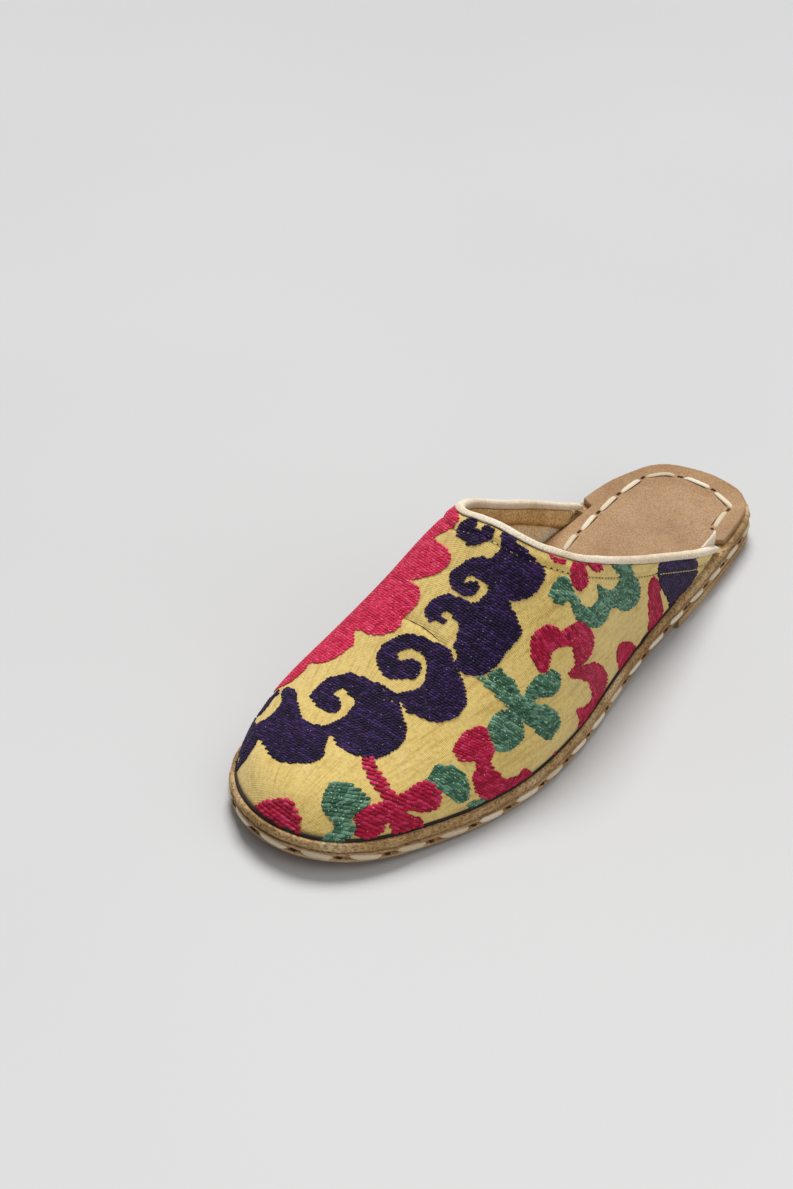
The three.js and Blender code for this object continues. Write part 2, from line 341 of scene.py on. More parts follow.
CHART_AXIS = 0.010      # the height of the line along the foot that the chart is rolled round
CHART_RADIUS = 45       # one radian round that line is this many millimetres of the chart
CLOTH_UNIT = 100        # one unit of the cloth's UV map, in millimetres


def unrolled(point):
    """The upper's chart: along the foot, and round it from the ridge, in millimetres."""
    return point.y / MM, math.atan2(point.x, point.z - CHART_AXIS) * CHART_RADIUS


def rolled(skin, along, around):
    """The place on the skin at a point of the chart."""
    turn = around / CHART_RADIUS
    axis = Vector((0, along * MM, CHART_AXIS))
    out = Vector((math.sin(turn), 0, math.cos(turn)))
    place, normal, _, _ = skin.tree.ray_cast(axis + out * 0.12, -out)
    if not place:
        place, normal = skin.drop(axis + out * 0.04)
    return place, normal


def inside(points, loop):
    """For each point of an array, whether it lies in a closed loop."""
    x, y = points[:, 0][:, None], points[:, 1][:, None]
    ax, ay = loop[:, 0], loop[:, 1]
    bx, by = np.roll(ax, -1), np.roll(ay, -1)
    rise = np.where(by == ay, 1e-9, by - ay)
    crossed = ((ay > y) != (by > y)) & (x < (bx - ax) * (y - ay) / rise + ax)
    return crossed.sum(axis=1) % 2 == 1


def topline():
    """Places along the crest of the binding, from the outer wing round the throat to the inner."""
    trees = [tree_of(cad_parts[name].data) for name in ("binding", "upper")]
    crest = []
    rays = 240
    for k in range(rays + 1):
        turn = math.radians(50 - 277 * k / rays)
        out = Vector((math.cos(turn), math.sin(turn), 0))
        # The crest lies between these heights, and each halving of the range comes nearer
        low, high, best = 0.0135, 0.08, None
        for _ in range(14):
            level = (low + high) / 2
            hits = [t.ray_cast(Vector((*OPENING, level)), out, OUTSIDE)[0] for t in trees]
            hits = [h for h in hits if h]
            if hits:
                low, best = level, min(hits, key=lambda h: (h.xy - Vector(OPENING)).length)
            else:
                high = level
        if best:
            crest.append(best)
    return even(crest, CREST_STEP)


def parallel(skin, crest, depth, side=1):
    """A smooth line on the outer (1) or inner (-1) side of the upper, at a straight distance
    from the crest."""
    edge, line = near_line(crest), []
    for before, point, after in zip(crest, crest[1:], crest[2:]):
        out = (after - before).cross(Vector((0, 0, 1))).normalized()
        if out.dot(point - Vector((*OPENING, point.z))) < 0:
            out = -out
        place = point + out * (0.012 if side > 0 else -0.005) - Vector((0, 0, depth * 0.8))
        for _ in range(8):
            place, normal = skin.drop(place)
            near, _, distance = edge.find(place)
            away = place - near
            away = (away - normal * away.dot(normal)).normalized()
            place = place + away * (depth - distance)
        line.append(skin.drop(place)[0])
    for _ in range(3):
        line = line[:1] + [skin.drop((a + b * 2 + c) / 4)[0]
                           for a, b, c in zip(line, line[1:], line[2:])] + line[-1:]
    return line


# Stitches

def grain(segments, rings, taper, blunt=0.75):
    """One stitch, 1 long, 1 wide and 1 high, round on top, thinner towards one end."""
    bm = bmesh.new()
    bmesh.ops.create_uvsphere(bm, u_segments=segments, v_segments=rings, radius=0.5,
                              matrix=Matrix.Rotation(math.radians(90), 4, "Y"))
    for v in bm.verts:
        v.co.x = math.copysign(abs(2 * v.co.x) ** blunt, v.co.x) / 2
        v.co.y *= (1 - taper * v.co.x)
    points = np.array([v.co[:] for v in bm.verts])
    faces = [[v.index for v in f.verts] for f in bm.faces]
    bm.free()
    return points, faces


def joined(name, places, base, shades, flat, material):
    """One mesh of stitches made from one base, with a shade for each and its thread's chart in
    millimetres."""
    points, faces = base
    starts = range(0, len(places), len(points))
    mesh = bpy.data.meshes.new(name)
    mesh.from_pydata(places, [], [[v + start for v in face] for start in starts for face in faces])
    mesh.attributes.new("shade", "FLOAT", "POINT").data.foreach_set("value", shades)
    corners = np.empty(len(mesh.loops), dtype=int)
    mesh.loops.foreach_get("vertex_index", corners)
    mesh.uv_layers.new(name="strand").data.foreach_set("uv", flat[corners].ravel())
    return piece_of(mesh, name, material)


def stitched(name, stitches, base, material):
    """One mesh of many stitches. Each is (centre, along, normal, length, width, height, shade)."""
    points = base[0]
    places, shades, flat = [], [], []
    for centre, along, normal, length, width, height, shade in stitches:
        side = normal.cross(along).normalized()
        axes = np.array([along[:], side[:], normal[:]])
        sized = points * (length, width, height)
        places.append(sized @ axes + np.array(centre[:]))
        shades += [shade] * len(points)
        flat.append(sized[:, :2] / MM)
    return joined(name, np.concatenate(places).tolist(), base, shades, np.concatenate(flat),
                  material)


def laid(name, strands, base, material):
    """One mesh of strands that lie along tracks. Each is (track, width, height, slant, shade),
    and its ends dive into their holes."""
    places, shades, flat = [], [], []
    for track, width, height, slant, shade in strands:
        last = len(track) - 1
        for x, y, z in base[0]:
            at = (x + 0.5) * last
            low = min(int(at), last - 1)
            share = at - low
            place = track[low][0].lerp(track[low + 1][0], share)
            normal = track[low][1].lerp(track[low + 1][1], share).normalized()
            run = (track[low + 1][0] - track[low][0]).normalized()
            side = normal.cross(run)
            dive = height * 0.9 * abs(2 * x) ** 7
            places.append(place + side * (y * width + x * slant) + normal * (z * height - dive))
            flat.append((at * STEP / MM, y * width / MM))
            shades.append(shade)
    return joined(name, places, base, shades, np.array(flat), material)


def band(name, rows, material, thickness):
    """A strip of sheet whose rows of places run along it."""
    count = len(rows[0])
    bm = bmesh.new()
    bmesh.ops.create_grid(bm, x_segments=count - 1, y_segments=len(rows) - 1, size=0.5)
    for v in bm.verts:
        v.co = rows[round((v.co.y + 0.5) * (len(rows) - 1))][round((v.co.x + 0.5) * (count - 1))]
    bmesh.ops.recalc_face_normals(bm, faces=bm.faces)
    strip = finished(bm, name, material)
    wall = strip.modifiers.new("Thickness", "SOLIDIFY")
    wall.thickness = thickness
    wall.offset = 0
    return strip


OVERLAP = 0.0013                # how far the rows of one cell run into the next
SHORTEST = 0.0006               # a shorter stretch of a row isn't sewn
STROLL_STEP = 0.00045           # about how far the walk from row to row goes at once
CHAIN_TURN = 0.2                # each stitch of a chain lies turned to its row, in radians
CHAIN_TILT = -0.12              # and with one end up


def row_through(skin, start, across, span):
    """Walks over the skin both ways from a start, in the plane that stands square to across."""
    level = across.dot(start)
    halves = []
    for sign in (-1, 1):
        place, normal = skin.drop(start)
        half = [(place, normal)]
        for _ in range(round(span / STEP)):
            ahead = across.cross(normal) * sign
            ahead.normalize()
            point = skin.drop(place + ahead * STEP)[0]
            point = point + across * (level - across.dot(point))
            after, turned = skin.drop(point)
            if (after - place).length < STEP * 0.3:
                break
            place, normal = after, turned
            half.append((place, normal))
        halves.append(half)
    return halves[0][::-1] + halves[1][1:]


def stretches(held):
    """The first and last index of each run of places that are held."""
    turns = np.flatnonzero(np.diff([0, *held, 0])).tolist()
    return [(first, after - 1) for first, after in zip(turns[::2], turns[1::2])]


def chain(track, first, last, sizes, rng):
    """The stitches of one stretch of a row, no two of them alike."""
    _, length, width, height = sizes
    reach = (last - first) * STEP
    count = max(round(reach / length), 1)
    tone = rng.uniform(-0.1, 0.1)
    made = []
    for i in range(count):
        low = int(first + (i + 0.5) * (last - first) / count)
        here, normal = track[low]
        ahead = track[min(low + 1, len(track) - 1)][0] - track[max(low - 1, 0)][0]
        ahead.normalize()
        side = normal.cross(ahead)
        turn = Matrix.Rotation(rng.uniform(-0.1, 0.1) + CHAIN_TURN, 3, normal)
        tilt = Matrix.Rotation(CHAIN_TILT, 3, side)
        made.append((here + normal * height * 0.18 + side * rng.uniform(-1, 1) * 0.00006,
                     tilt @ (turn @ ahead), tilt @ normal,
                     reach / count * rng.uniform(1.6, 1.8),
                     width * rng.uniform(1.02, 1.14), height * rng.uniform(0.9, 1.15),
                     0.5 + tone + rng.uniform(-0.24, 0.24)))
    return made


def fill(skin, loop, seeds, headings, sizes, rng):
    """Fills a loop of the chart with rows of chain stitch, laid out from each seed in its cell."""
    row = sizes[0]
    middles = [skin.drop(seed)[0] for seed in seeds]
    centres = np.array([middle[:] for middle in middles])
    made = []
    span = max((rolled(skin, *p)[0] - m).length for p in loop[::3] for m in middles) + row
    for k, (middle, heading) in enumerate(zip(middles, headings)):
        place, normal = skin.drop(middle)
        heading = (heading - normal * heading.dot(normal)).normalized()
        across = normal.cross(heading).normalized()
        every = round(row / STROLL_STEP)
        starts = skin.stroll(place, across, span, row / every)[::every]
        starts += skin.stroll(place, -across, span, row / every)[every::every]
        for start, _ in starts:
            track = row_through(skin, start, across, span)
            if len(track) < 3:
                continue
            held = inside(np.array([unrolled(p) for p, _ in track]), loop)
            if len(middles) > 1:
                real = np.array([p[:] for p, _ in track])
                apart = np.linalg.norm(real[:, None] - centres, axis=2)
                held &= apart[:, k] <= apart.min(axis=1) + OVERLAP
            for first, last in stretches(held):
                if (last - first) * STEP > SHORTEST:
                    made += chain(track, first, last, sizes, rng)
    return made


def petal(along, around, length, width, turn):
    """A hidden petal: an oval of the chart, pointed at its far end."""
    turn, loop = math.radians(turn), []
    for k in range(18):
        angle = math.tau * k / 18
        x = length / 2 * math.cos(angle)
        y = width / 2 * math.sin(angle) * (1 - 0.45 * math.cos(angle))
        loop.append((along + x * math.cos(turn) - y * math.sin(turn),
                     around + x * math.sin(turn) + y * math.cos(turn)))
    return loop


# The embroidery, charted. "seen" points are pixels of the photograph; "hidden" points
# are in the upper's chart, for the inner side. Rows run at an angle down to the right.

CHART = {
    "scalloped band": {
        "thread": "rose", "rows": 35,
        "seeds": [(446, 520), (438, 560), (400, 605), (385, 622), (345, 640), (292, 675)],
        "hidden_seeds": [(-76, -60), (-56, -52), (-40, -42), (-22, -30), (-4, -21)],
        "seen": [(450, 510), (454, 507), (458, 507), (461, 511), (462, 515), (460, 521), (455, 526),
                 (450, 530), (444, 533), (437, 536), (433, 540), (437, 541), (443, 545), (448, 550),
                 (451, 556), (451, 562), (446, 569), (439, 574), (430, 577), (419, 580), (410, 580),
                 (408, 580), (416, 584), (420, 590), (421, 596), (418, 605), (412, 612), (406, 616),
                 (402, 620), (401, 627), (395, 632), (386, 635), (375, 636), (367, 634), (362, 631),
                 (354, 631), (354, 635), (355, 640), (354, 646), (347, 651), (339, 657), (329, 662),
                 (320, 664), (314, 663), (309, 664), (305, 671), (300, 675), (294, 681), (285, 686),
                 (275, 691)],
        "hidden": [(-82, -61), (-77, -65), (-71, -64), (-67, -60), (-64, -57), (-60, -61), (-53, -60),
                   (-49, -55), (-47, -49), (-43, -52), (-36, -51), (-32, -46), (-30, -39), (-26, -42),
                   (-19, -40), (-15, -34), (-14, -28), (-10, -29), (-5, -26), (1, -25), (3, -20),
                   (0, -13), (-8, -5)]},
    "end of the scalloped band": {
        "thread": "rose", "rows": 20,
        "hidden_seeds": [(-2, -20)],
        "hidden": [(3, -24), (4, -21), (1, -18), (-8, -17), (-8, -21), (-2, -23)]},
    "throat scroll": {
        "thread": "purple", "rows": 30, "seeds": [(468, 532), (488, 530)],
        "seen": [(477, 512), (472, 514), (468, 519), (462, 522), (459, 526), (458, 531), (457, 534),
                 (460, 540), (466, 542), (468, 546), (475, 546), (481, 544), (488, 542), (493, 539),
                 (494, 534), (495, 531), (492, 527), (489, 525), (486, 525), (484, 527), (482, 530),
                 (477, 530), (476, 528), (478, 525), (480, 521), (485, 520), (488, 519), (483, 515)]},
    "upper scroll": {
        "thread": "purple", "rows": 32,
        "seeds": [(515, 575), (480, 575), (440, 608), (485, 640)],
        "seen": [(501, 526), (508, 529), (513, 531), (519, 534), (524, 538), (520, 539), (516, 541),
                 (519, 545), (525, 549), (531, 554), (537, 561), (544, 568), (546, 576), (544, 582),
                 (540, 590), (531, 597), (520, 602), (510, 601), (512, 608), (517, 616), (519, 623),
                 (522, 631), (522, 636), (519, 640), (514, 645), (510, 650), (505, 655), (502, 660),
                 (500, 665), (495, 668), (490, 672), (484, 675), (476, 677), (468, 675), (462, 672),
                 (458, 668), (455, 664), (458, 658), (457, 652), (455, 648), (454, 644), (457, 640),
                 (459, 632), (460, 625), (455, 620), (452, 615), (447, 611), (442, 615), (442, 617),
                 (447, 621), (445, 625), (437, 621), (430, 622), (426, 617), (425, 613), (427, 606),
                 (433, 600), (441, 596), (448, 594), (456, 596), (462, 599), (468, 602), (473, 604),
                 (480, 601), (485, 596), (489, 591), (489, 586), (486, 583), (481, 582), (477, 579),
                 (472, 576), (467, 577), (464, 582), (466, 584), (469, 582), (472, 581), (477, 582),
                 (480, 586), (480, 590), (475, 595), (470, 597), (460, 595), (454, 590), (452, 585),
                 (450, 577), (452, 571), (459, 567), (466, 561), (473, 558), (482, 557), (492, 559),
                 (496, 555), (500, 551), (502, 545), (503, 540), (501, 536), (503, 534), (503, 530)]},
    "middle scroll": {
        "thread": "purple", "rows": 32,
        "seeds": [(405, 668), (425, 645), (440, 695), (410, 700)],
        "seen": [(455, 664), (450, 648), (444, 646), (435, 642), (425, 637), (416, 635), (407, 634),
                 (397, 637), (390, 641), (382, 646), (378, 654), (377, 660), (379, 669), (385, 676),
                 (392, 680), (400, 680), (409, 679), (414, 681), (419, 676), (422, 670), (421, 664),
                 (416, 659), (410, 659), (404, 660), (401, 662), (397, 656), (400, 651), (407, 650),
                 (415, 649), (421, 652), (426, 656), (427, 662), (428, 670), (426, 679), (422, 686),
                 (416, 690), (409, 691), (402, 693), (399, 694), (392, 692), (385, 687), (385, 700),
                 (400, 703), (403, 704), (405, 709), (409, 713), (418, 716), (425, 719), (430, 721),
                 (436, 723), (443, 723), (450, 721), (457, 718), (462, 714), (466, 707), (467, 701),
                 (466, 692), (465, 685), (462, 678), (460, 673), (458, 668)]},
    "lower scroll": {
        "thread": "purple", "rows": 30,
        "seeds": [(375, 715), (345, 682), (325, 718), (270, 735), (310, 745)],
        "hidden_seeds": [(-101, -67)],
        "seen": [(234, 767), (237, 771), (241, 766), (247, 760), (252, 752), (257, 744),
                 (258, 740), (262, 742), (266, 747), (270, 754), (275, 759), (282, 762),
                 (292, 764), (302, 764), (312, 764), (320, 760), (325, 756), (325, 750),
                 (327, 741), (331, 735), (336, 741), (340, 749), (350, 753), (357, 756),
                 (364, 758), (375, 760), (387, 756), (400, 748), (405, 742), (407, 733),
                 (408, 727), (404, 722), (404, 717), (402, 711), (400, 703), (385, 700),
                 (385, 687), (377, 683), (370, 680), (360, 676), (350, 673), (341, 675),
                 (331, 677), (322, 682), (315, 690), (311, 696), (314, 702), (320, 709),
                 (327, 712), (336, 714), (341, 710), (342, 705), (339, 699), (334, 694),
                 (338, 691), (344, 688), (346, 690), (350, 695), (357, 700), (354, 707),
                 (347, 715), (341, 720), (334, 722), (325, 726), (319, 725), (312, 724),
                 (306, 721), (301, 716), (300, 709), (297, 701), (297, 695), (294, 689),
                 (289, 687), (284, 689), (282, 692), (283, 699), (281, 705), (275, 712),
                 (267, 719), (257, 724)],
        "hidden": [(-94, -63), (-91, -67), (-93, -71), (-100, -72), (-107, -72), (-111, -70)]},
    "toe sliver": {
        "thread": "purple", "rows": 30, "seeds": [(266, 705)],
        "seen": [(279, 689), (275, 694), (269, 699), (262, 705), (256, 712), (252, 720), (256, 719),
                 (262, 714), (269, 706), (275, 697), (280, 694)]},
    "toe petal": {
        "pitch": 1.45, "thread": "crimson", "rows": 36, "seeds": [(280, 815)],
        "seen": [(250, 811), (260, 804), (267, 800), (275, 799), (284, 799), (290, 799), (293, 802),
                 (297, 810), (301, 817), (301, 825), (300, 834), (297, 843), (288, 846), (278, 843),
                 (268, 838), (258, 829), (251, 819)]},
    "toe leaf": {
        "pitch": 1.45, "thread": "green", "rows": 8, "seeds": [(346, 812)],
        "seen": [(336, 780), (344, 783), (351, 784), (357, 789), (364, 792), (369, 797), (371, 802),
                 (367, 807), (361, 811), (356, 815), (352, 821), (356, 826), (355, 831), (351, 839),
                 (349, 842), (340, 843), (331, 842), (322, 840), (326, 835), (334, 830), (337, 825),
                 (331, 820), (325, 812), (322, 806), (323, 800), (325, 792), (329, 786), (332, 782)]},
    "stem flower": {
        "pitch": 1.45, "thread": "crimson", "rows": 25,
        "seeds": [(376, 780), (372, 822), (400, 812), (425, 795)],
        "seen": [(364, 757), (374, 758), (375, 764), (380, 772), (386, 781), (392, 790), (400, 797),
                 (405, 792), (412, 788), (417, 784), (424, 782), (428, 780), (431, 783), (436, 787),
                 (441, 791), (441, 797), (441, 804), (439, 809), (434, 811), (426, 812), (420, 811),
                 (415, 810), (407, 810), (408, 814), (411, 817), (414, 815), (419, 818), (423, 824),
                 (426, 829), (420, 832), (412, 833), (405, 835), (400, 836), (393, 837), (393, 832),
                 (391, 827), (388, 821), (386, 827), (381, 834), (375, 839), (367, 840), (360, 837),
                 (355, 832), (356, 826), (354, 820), (356, 815), (362, 810), (370, 806), (378, 803),
                 (386, 801), (385, 799), (380, 794), (374, 786), (369, 780), (366, 770), (363, 762)]},
    "four-leaf": {
        "thread": "green", "rows": 34,
        "seeds": [(500, 685), (545, 685), (507, 730), (543, 720), (525, 705)],
        "seen": [(477, 679), (480, 677), (484, 676), (487, 680), (489, 677), (489, 674), (492, 671),
                 (497, 670), (500, 667), (503, 671), (506, 674), (510, 677), (514, 681), (517, 686),
                 (519, 691), (521, 694), (525, 697), (527, 693), (528, 688), (531, 683), (535, 678),
                 (540, 674), (545, 675), (549, 672), (552, 669), (556, 671), (560, 676), (561, 681),
                 (560, 688), (557, 693), (552, 697), (547, 698), (541, 697), (537, 699), (534, 702),
                 (536, 705), (541, 704), (551, 707), (557, 712), (560, 720), (560, 727), (555, 733),
                 (552, 739), (545, 741), (541, 737), (537, 733), (534, 729), (527, 725), (522, 722),
                 (524, 727), (524, 733), (523, 740), (519, 745), (514, 749), (508, 752), (500, 752),
                 (496, 751), (494, 744), (491, 738), (489, 732), (488, 726), (490, 722), (492, 718),
                 (496, 714), (500, 711), (505, 711), (510, 708), (506, 706), (502, 701), (497, 696),
                 (490, 690), (484, 684)]},
    "bud": {
        "thread": "crimson", "rows": 25, "seeds": [(474, 745), (490, 782), (520, 782)],
        "seen": [(453, 749), (457, 742), (461, 737), (465, 731), (472, 730), (477, 727), (482, 725),
                 (487, 728), (488, 733), (490, 738), (493, 744), (495, 751), (493, 756), (490, 762),
                 (492, 767), (497, 771), (502, 776), (507, 778), (512, 778), (517, 776), (520, 773),
                 (523, 768), (526, 768), (530, 771), (533, 775), (537, 780), (531, 783), (524, 787),
                 (517, 792), (508, 797), (506, 796), (500, 800), (493, 805), (489, 801), (485, 798),
                 (480, 796), (476, 792), (475, 786), (473, 780), (474, 774), (477, 769), (477, 765),
                 (474, 762), (468, 762), (463, 762), (459, 759), (455, 753)]},
    "side leaf": {
        "thread": "green", "rows": 36, "seeds": [(450, 785)],
        "seen": [(425, 780), (430, 776), (432, 771), (437, 765), (441, 763), (445, 766), (448, 766),
                 (453, 764), (457, 767), (460, 771), (465, 774), (467, 779), (469, 784), (470, 791),
                 (469, 797), (468, 800), (465, 802), (461, 804), (457, 802), (450, 798), (444, 793),
                 (437, 789), (431, 784)]},
    "welt leaf": {
        "thread": "green", "rows": 20, "seeds": [(478, 807)],
        "seen": [(466, 803), (470, 801), (478, 800), (482, 797), (487, 799), (490, 803), (492, 806),
                 (488, 810), (480, 815), (470, 817), (468, 811), (470, 807)]},
    "welt sliver": {
        "thread": "crimson", "rows": 60, "seeds": [(558, 758)],
        "seen": [(552, 750), (556, 752), (559, 755), (561, 759), (561, 763), (556, 766), (553, 765),
                 (556, 760), (555, 756)]},
    "heart": {
        "thread": "crimson", "rows": 62,
        "seeds": [(543, 650), (580, 645), (598, 680), (592, 715)],
        "seen": [(531, 650), (531, 641), (533, 636), (538, 630), (544, 626), (550, 625), (556, 627),
                 (560, 630), (561, 633), (566, 629), (572, 626), (575, 623), (579, 621), (583, 622),
                 (587, 626), (592, 632), (594, 640), (593, 649), (590, 656), (586, 662), (583, 665),
                 (590, 664), (594, 662), (600, 665), (605, 669), (607, 674), (607, 682), (607, 694),
                 (604, 703), (600, 713), (591, 726), (582, 733), (579, 720), (574, 710), (583, 708),
                 (589, 703), (592, 697), (592, 691), (588, 683), (584, 680), (578, 679), (573, 679),
                 (570, 677), (568, 674), (572, 669), (576, 665), (575, 661), (574, 655), (573, 650),
                 (571, 647), (565, 647), (559, 648), (555, 650), (552, 654), (550, 661), (549, 668),
                 (546, 673), (541, 674), (537, 671), (535, 665), (532, 658)]},
    "green scallop": {
        "thread": "green", "rows": 40,
        "seeds": [(561, 590), (590, 615), (626, 592), (622, 566)],
        "seen": [(550, 595), (551, 588), (554, 584), (559, 579), (563, 576), (567, 578), (570, 582),
                 (572, 587), (575, 593), (579, 599), (581, 604), (585, 607), (590, 608), (594, 605),
                 (597, 601), (599, 595), (598, 590), (597, 584), (596, 580), (599, 585), (603, 587),
                 (608, 591), (613, 590), (616, 586), (619, 581), (620, 576), (617, 573), (613, 569),
                 (611, 564), (609, 561), (616, 560), (623, 560), (634, 560), (635, 563), (632, 565),
                 (630, 567), (631, 570), (634, 575), (638, 581), (640, 588), (640, 595), (638, 602),
                 (634, 607), (630, 610), (625, 611), (620, 610), (616, 608), (612, 606), (610, 609),
                 (609, 613), (607, 619), (603, 624), (599, 627), (595, 628), (588, 627), (582, 624),
                 (577, 619), (574, 613), (572, 607), (570, 601), (566, 602), (563, 606), (560, 605),
                 (557, 604), (554, 601)]},
    "edge bud": {
        "thread": "crimson", "rows": 30, "seeds": [(556, 554)],
        "seen": [(550, 551), (555, 549), (560, 551), (565, 555), (567, 560), (565, 565), (560, 565),
                 (555, 561), (551, 556)]},
    "hanging bud": {
        "thread": "crimson", "rows": 70, "seeds": [(582, 560), (579, 578)],
        "seen": [(575, 560), (576, 557), (580, 556), (584, 556), (588, 559), (589, 562), (587, 565),
                 (583, 566), (586, 571), (588, 577), (588, 582), (585, 588), (581, 592), (578, 592),
                 (574, 587), (571, 580), (570, 573), (571, 567), (574, 564)]},
    "small bud": {
        "thread": "crimson", "rows": 60, "seeds": [(597, 564)],
        "seen": [(588, 563), (591, 560), (597, 559), (603, 560), (604, 565), (602, 570), (598, 573),
                 (592, 571), (589, 567)]},
    "blade": {
        "thread": "crimson", "rows": 80, "seeds": [(656, 610)],
        "seen": [(648, 590), (649, 583), (652, 578), (654, 576), (656, 578), (659, 585), (660, 592),
                 (661, 600), (663, 608), (665, 615), (664, 622), (661, 628), (657, 634), (654, 638),
                 (650, 643), (646, 650), (641, 657), (638, 659), (638, 656), (642, 651), (647, 645),
                 (648, 640), (649, 632), (648, 626), (649, 621), (648, 615), (649, 610), (648, 605),
                 (649, 598)]},
    "side oval": {
        "thread": "purple", "rows": 75, "seeds": [(678, 580)],
        "seen": [(664, 558), (675, 556), (690, 554), (697, 553), (698, 556), (695, 559), (697, 565),
                 (697, 573), (696, 583), (694, 590), (691, 595), (686, 600), (682, 604), (679, 607),
                 (675, 607), (672, 608), (669, 603), (667, 598), (663, 592), (660, 585), (658, 578),
                 (657, 573), (658, 566), (661, 562), (664, 561)]},
    "drop": {
        "thread": "crimson", "rows": 70, "seeds": [(627, 658)],
        "seen": [(616, 660), (616, 652), (618, 646), (622, 643), (627, 642), (632, 643), (635, 647),
                 (637, 652), (638, 656), (634, 662), (630, 667), (625, 674), (621, 679), (619, 677),
                 (620, 671), (618, 665)]},
    # The inner side, of our own design, in the manner of the outer one
    "inner petal 1": {
        "thread": "green", "rows": 20, "hidden_seeds": [(-50, -65)],
        "hidden": petal(-49, -66, 17, 9, 160)},
    "inner petal 2": {
        "thread": "green", "rows": 40, "hidden_seeds": [(-33, -61)],
        "hidden": petal(-33, -60, 18, 10, 40)},
    "inner petal 3": {
        "thread": "green", "rows": 110, "hidden_seeds": [(-39, -64)],
        "hidden": petal(-40, -65, 11, 7, 80)},
    "inner bud": {
        "thread": "crimson", "rows": 60, "hidden_seeds": [(-18, -58), (-12, -66)],
        "hidden": [(-24, -56), (-23, -51), (-18, -48), (-12, -50), (-10, -55), (-12, -60), (-9, -63),
                   (-4, -62), (0, -66), (-2, -72), (-10, -73), (-17, -72), (-20, -67), (-18, -62),
                   (-22, -60)]},
    "inner scallop": {
        "thread": "green", "rows": 50,
        "hidden_seeds": [(0, -40), (12, -48), (8, -34)],
        "hidden": [(-6, -38), (-5, -32), (0, -28), (5, -27), (4, -32), (1, -36), (2, -41), (7, -43),
                   (12, -41), (14, -36), (13, -32), (18, -31), (23, -35), (22, -41), (19, -45),
                   (20, -50), (16, -55), (9, -55), (5, -51), (-1, -50), (-5, -45)]},
    "inner heart": {
        "thread": "crimson", "rows": 30,
        "hidden_seeds": [(29, -44), (36, -54), (24, -63)],
        "hidden": [(27, -38), (32, -36), (37, -40), (38, -46), (42, -47), (45, -52), (44, -58),
                   (38, -62), (32, -61), (28, -66), (22, -69), (17, -67), (17, -62), (22, -60),
                   (27, -57), (31, -54), (33, -50), (30, -48), (26, -50), (23, -47), (23, -41)]},
    "inner oval": {
        "thread": "purple", "rows": 85, "hidden_seeds": [(55, -56)],
        "hidden": [(49, -50), (52, -45), (57, -45), (62, -49), (63, -55), (61, -62), (57, -68),
                   (53, -68), (49, -62), (48, -56)]},
    "inner drop": {
        "thread": "crimson", "rows": 70, "hidden_seeds": [(6, -64)],
        "hidden": petal(7, -64, 13, 8, 100)},
    "inner sliver": {
        "thread": "crimson", "rows": 20, "hidden_seeds": [(-66, -69)],
        "hidden": petal(-66, -69, 13, 5, 10)},
}


def placed(skin, motif):
    """A motif's outline in the upper's chart, its seeds, and the heading of its rows at each."""
    seen, hidden = motif.get("seen", []), motif.get("hidden", [])
    loop = [unrolled(skin.seen(p)[0]) for p in seen] + hidden
    turn = math.radians(motif["rows"])
    ahead = 6       # from a seed to a second point of its row, in pixels, or half millimetres
    x, y = ahead * math.cos(turn), ahead * math.sin(turn)
    seeds, headings = [], []
    for seed in motif.get("seeds", []):
        seeds.append(skin.seen(seed)[0])
        headings.append(skin.seen((seed[0] + x, seed[1] + y))[0] - seeds[-1])
    for seed in motif.get("hidden_seeds", []):
        place = rolled(skin, *seed)[0]
        if seen:
            nearest = min(range(len(motif["seeds"])), key=lambda k: (seeds[k] - place).length)
            headings.append(headings[nearest])
        else:
            headings.append(rolled(skin, seed[0] + x / 2, seed[1] + y / 2)[0] - place)
        seeds.append(place)
    return np.array(loop, dtype=float), seeds, headings


# Materials

WAVE = 0.314            # the width of one band of a wave texture of scale 1


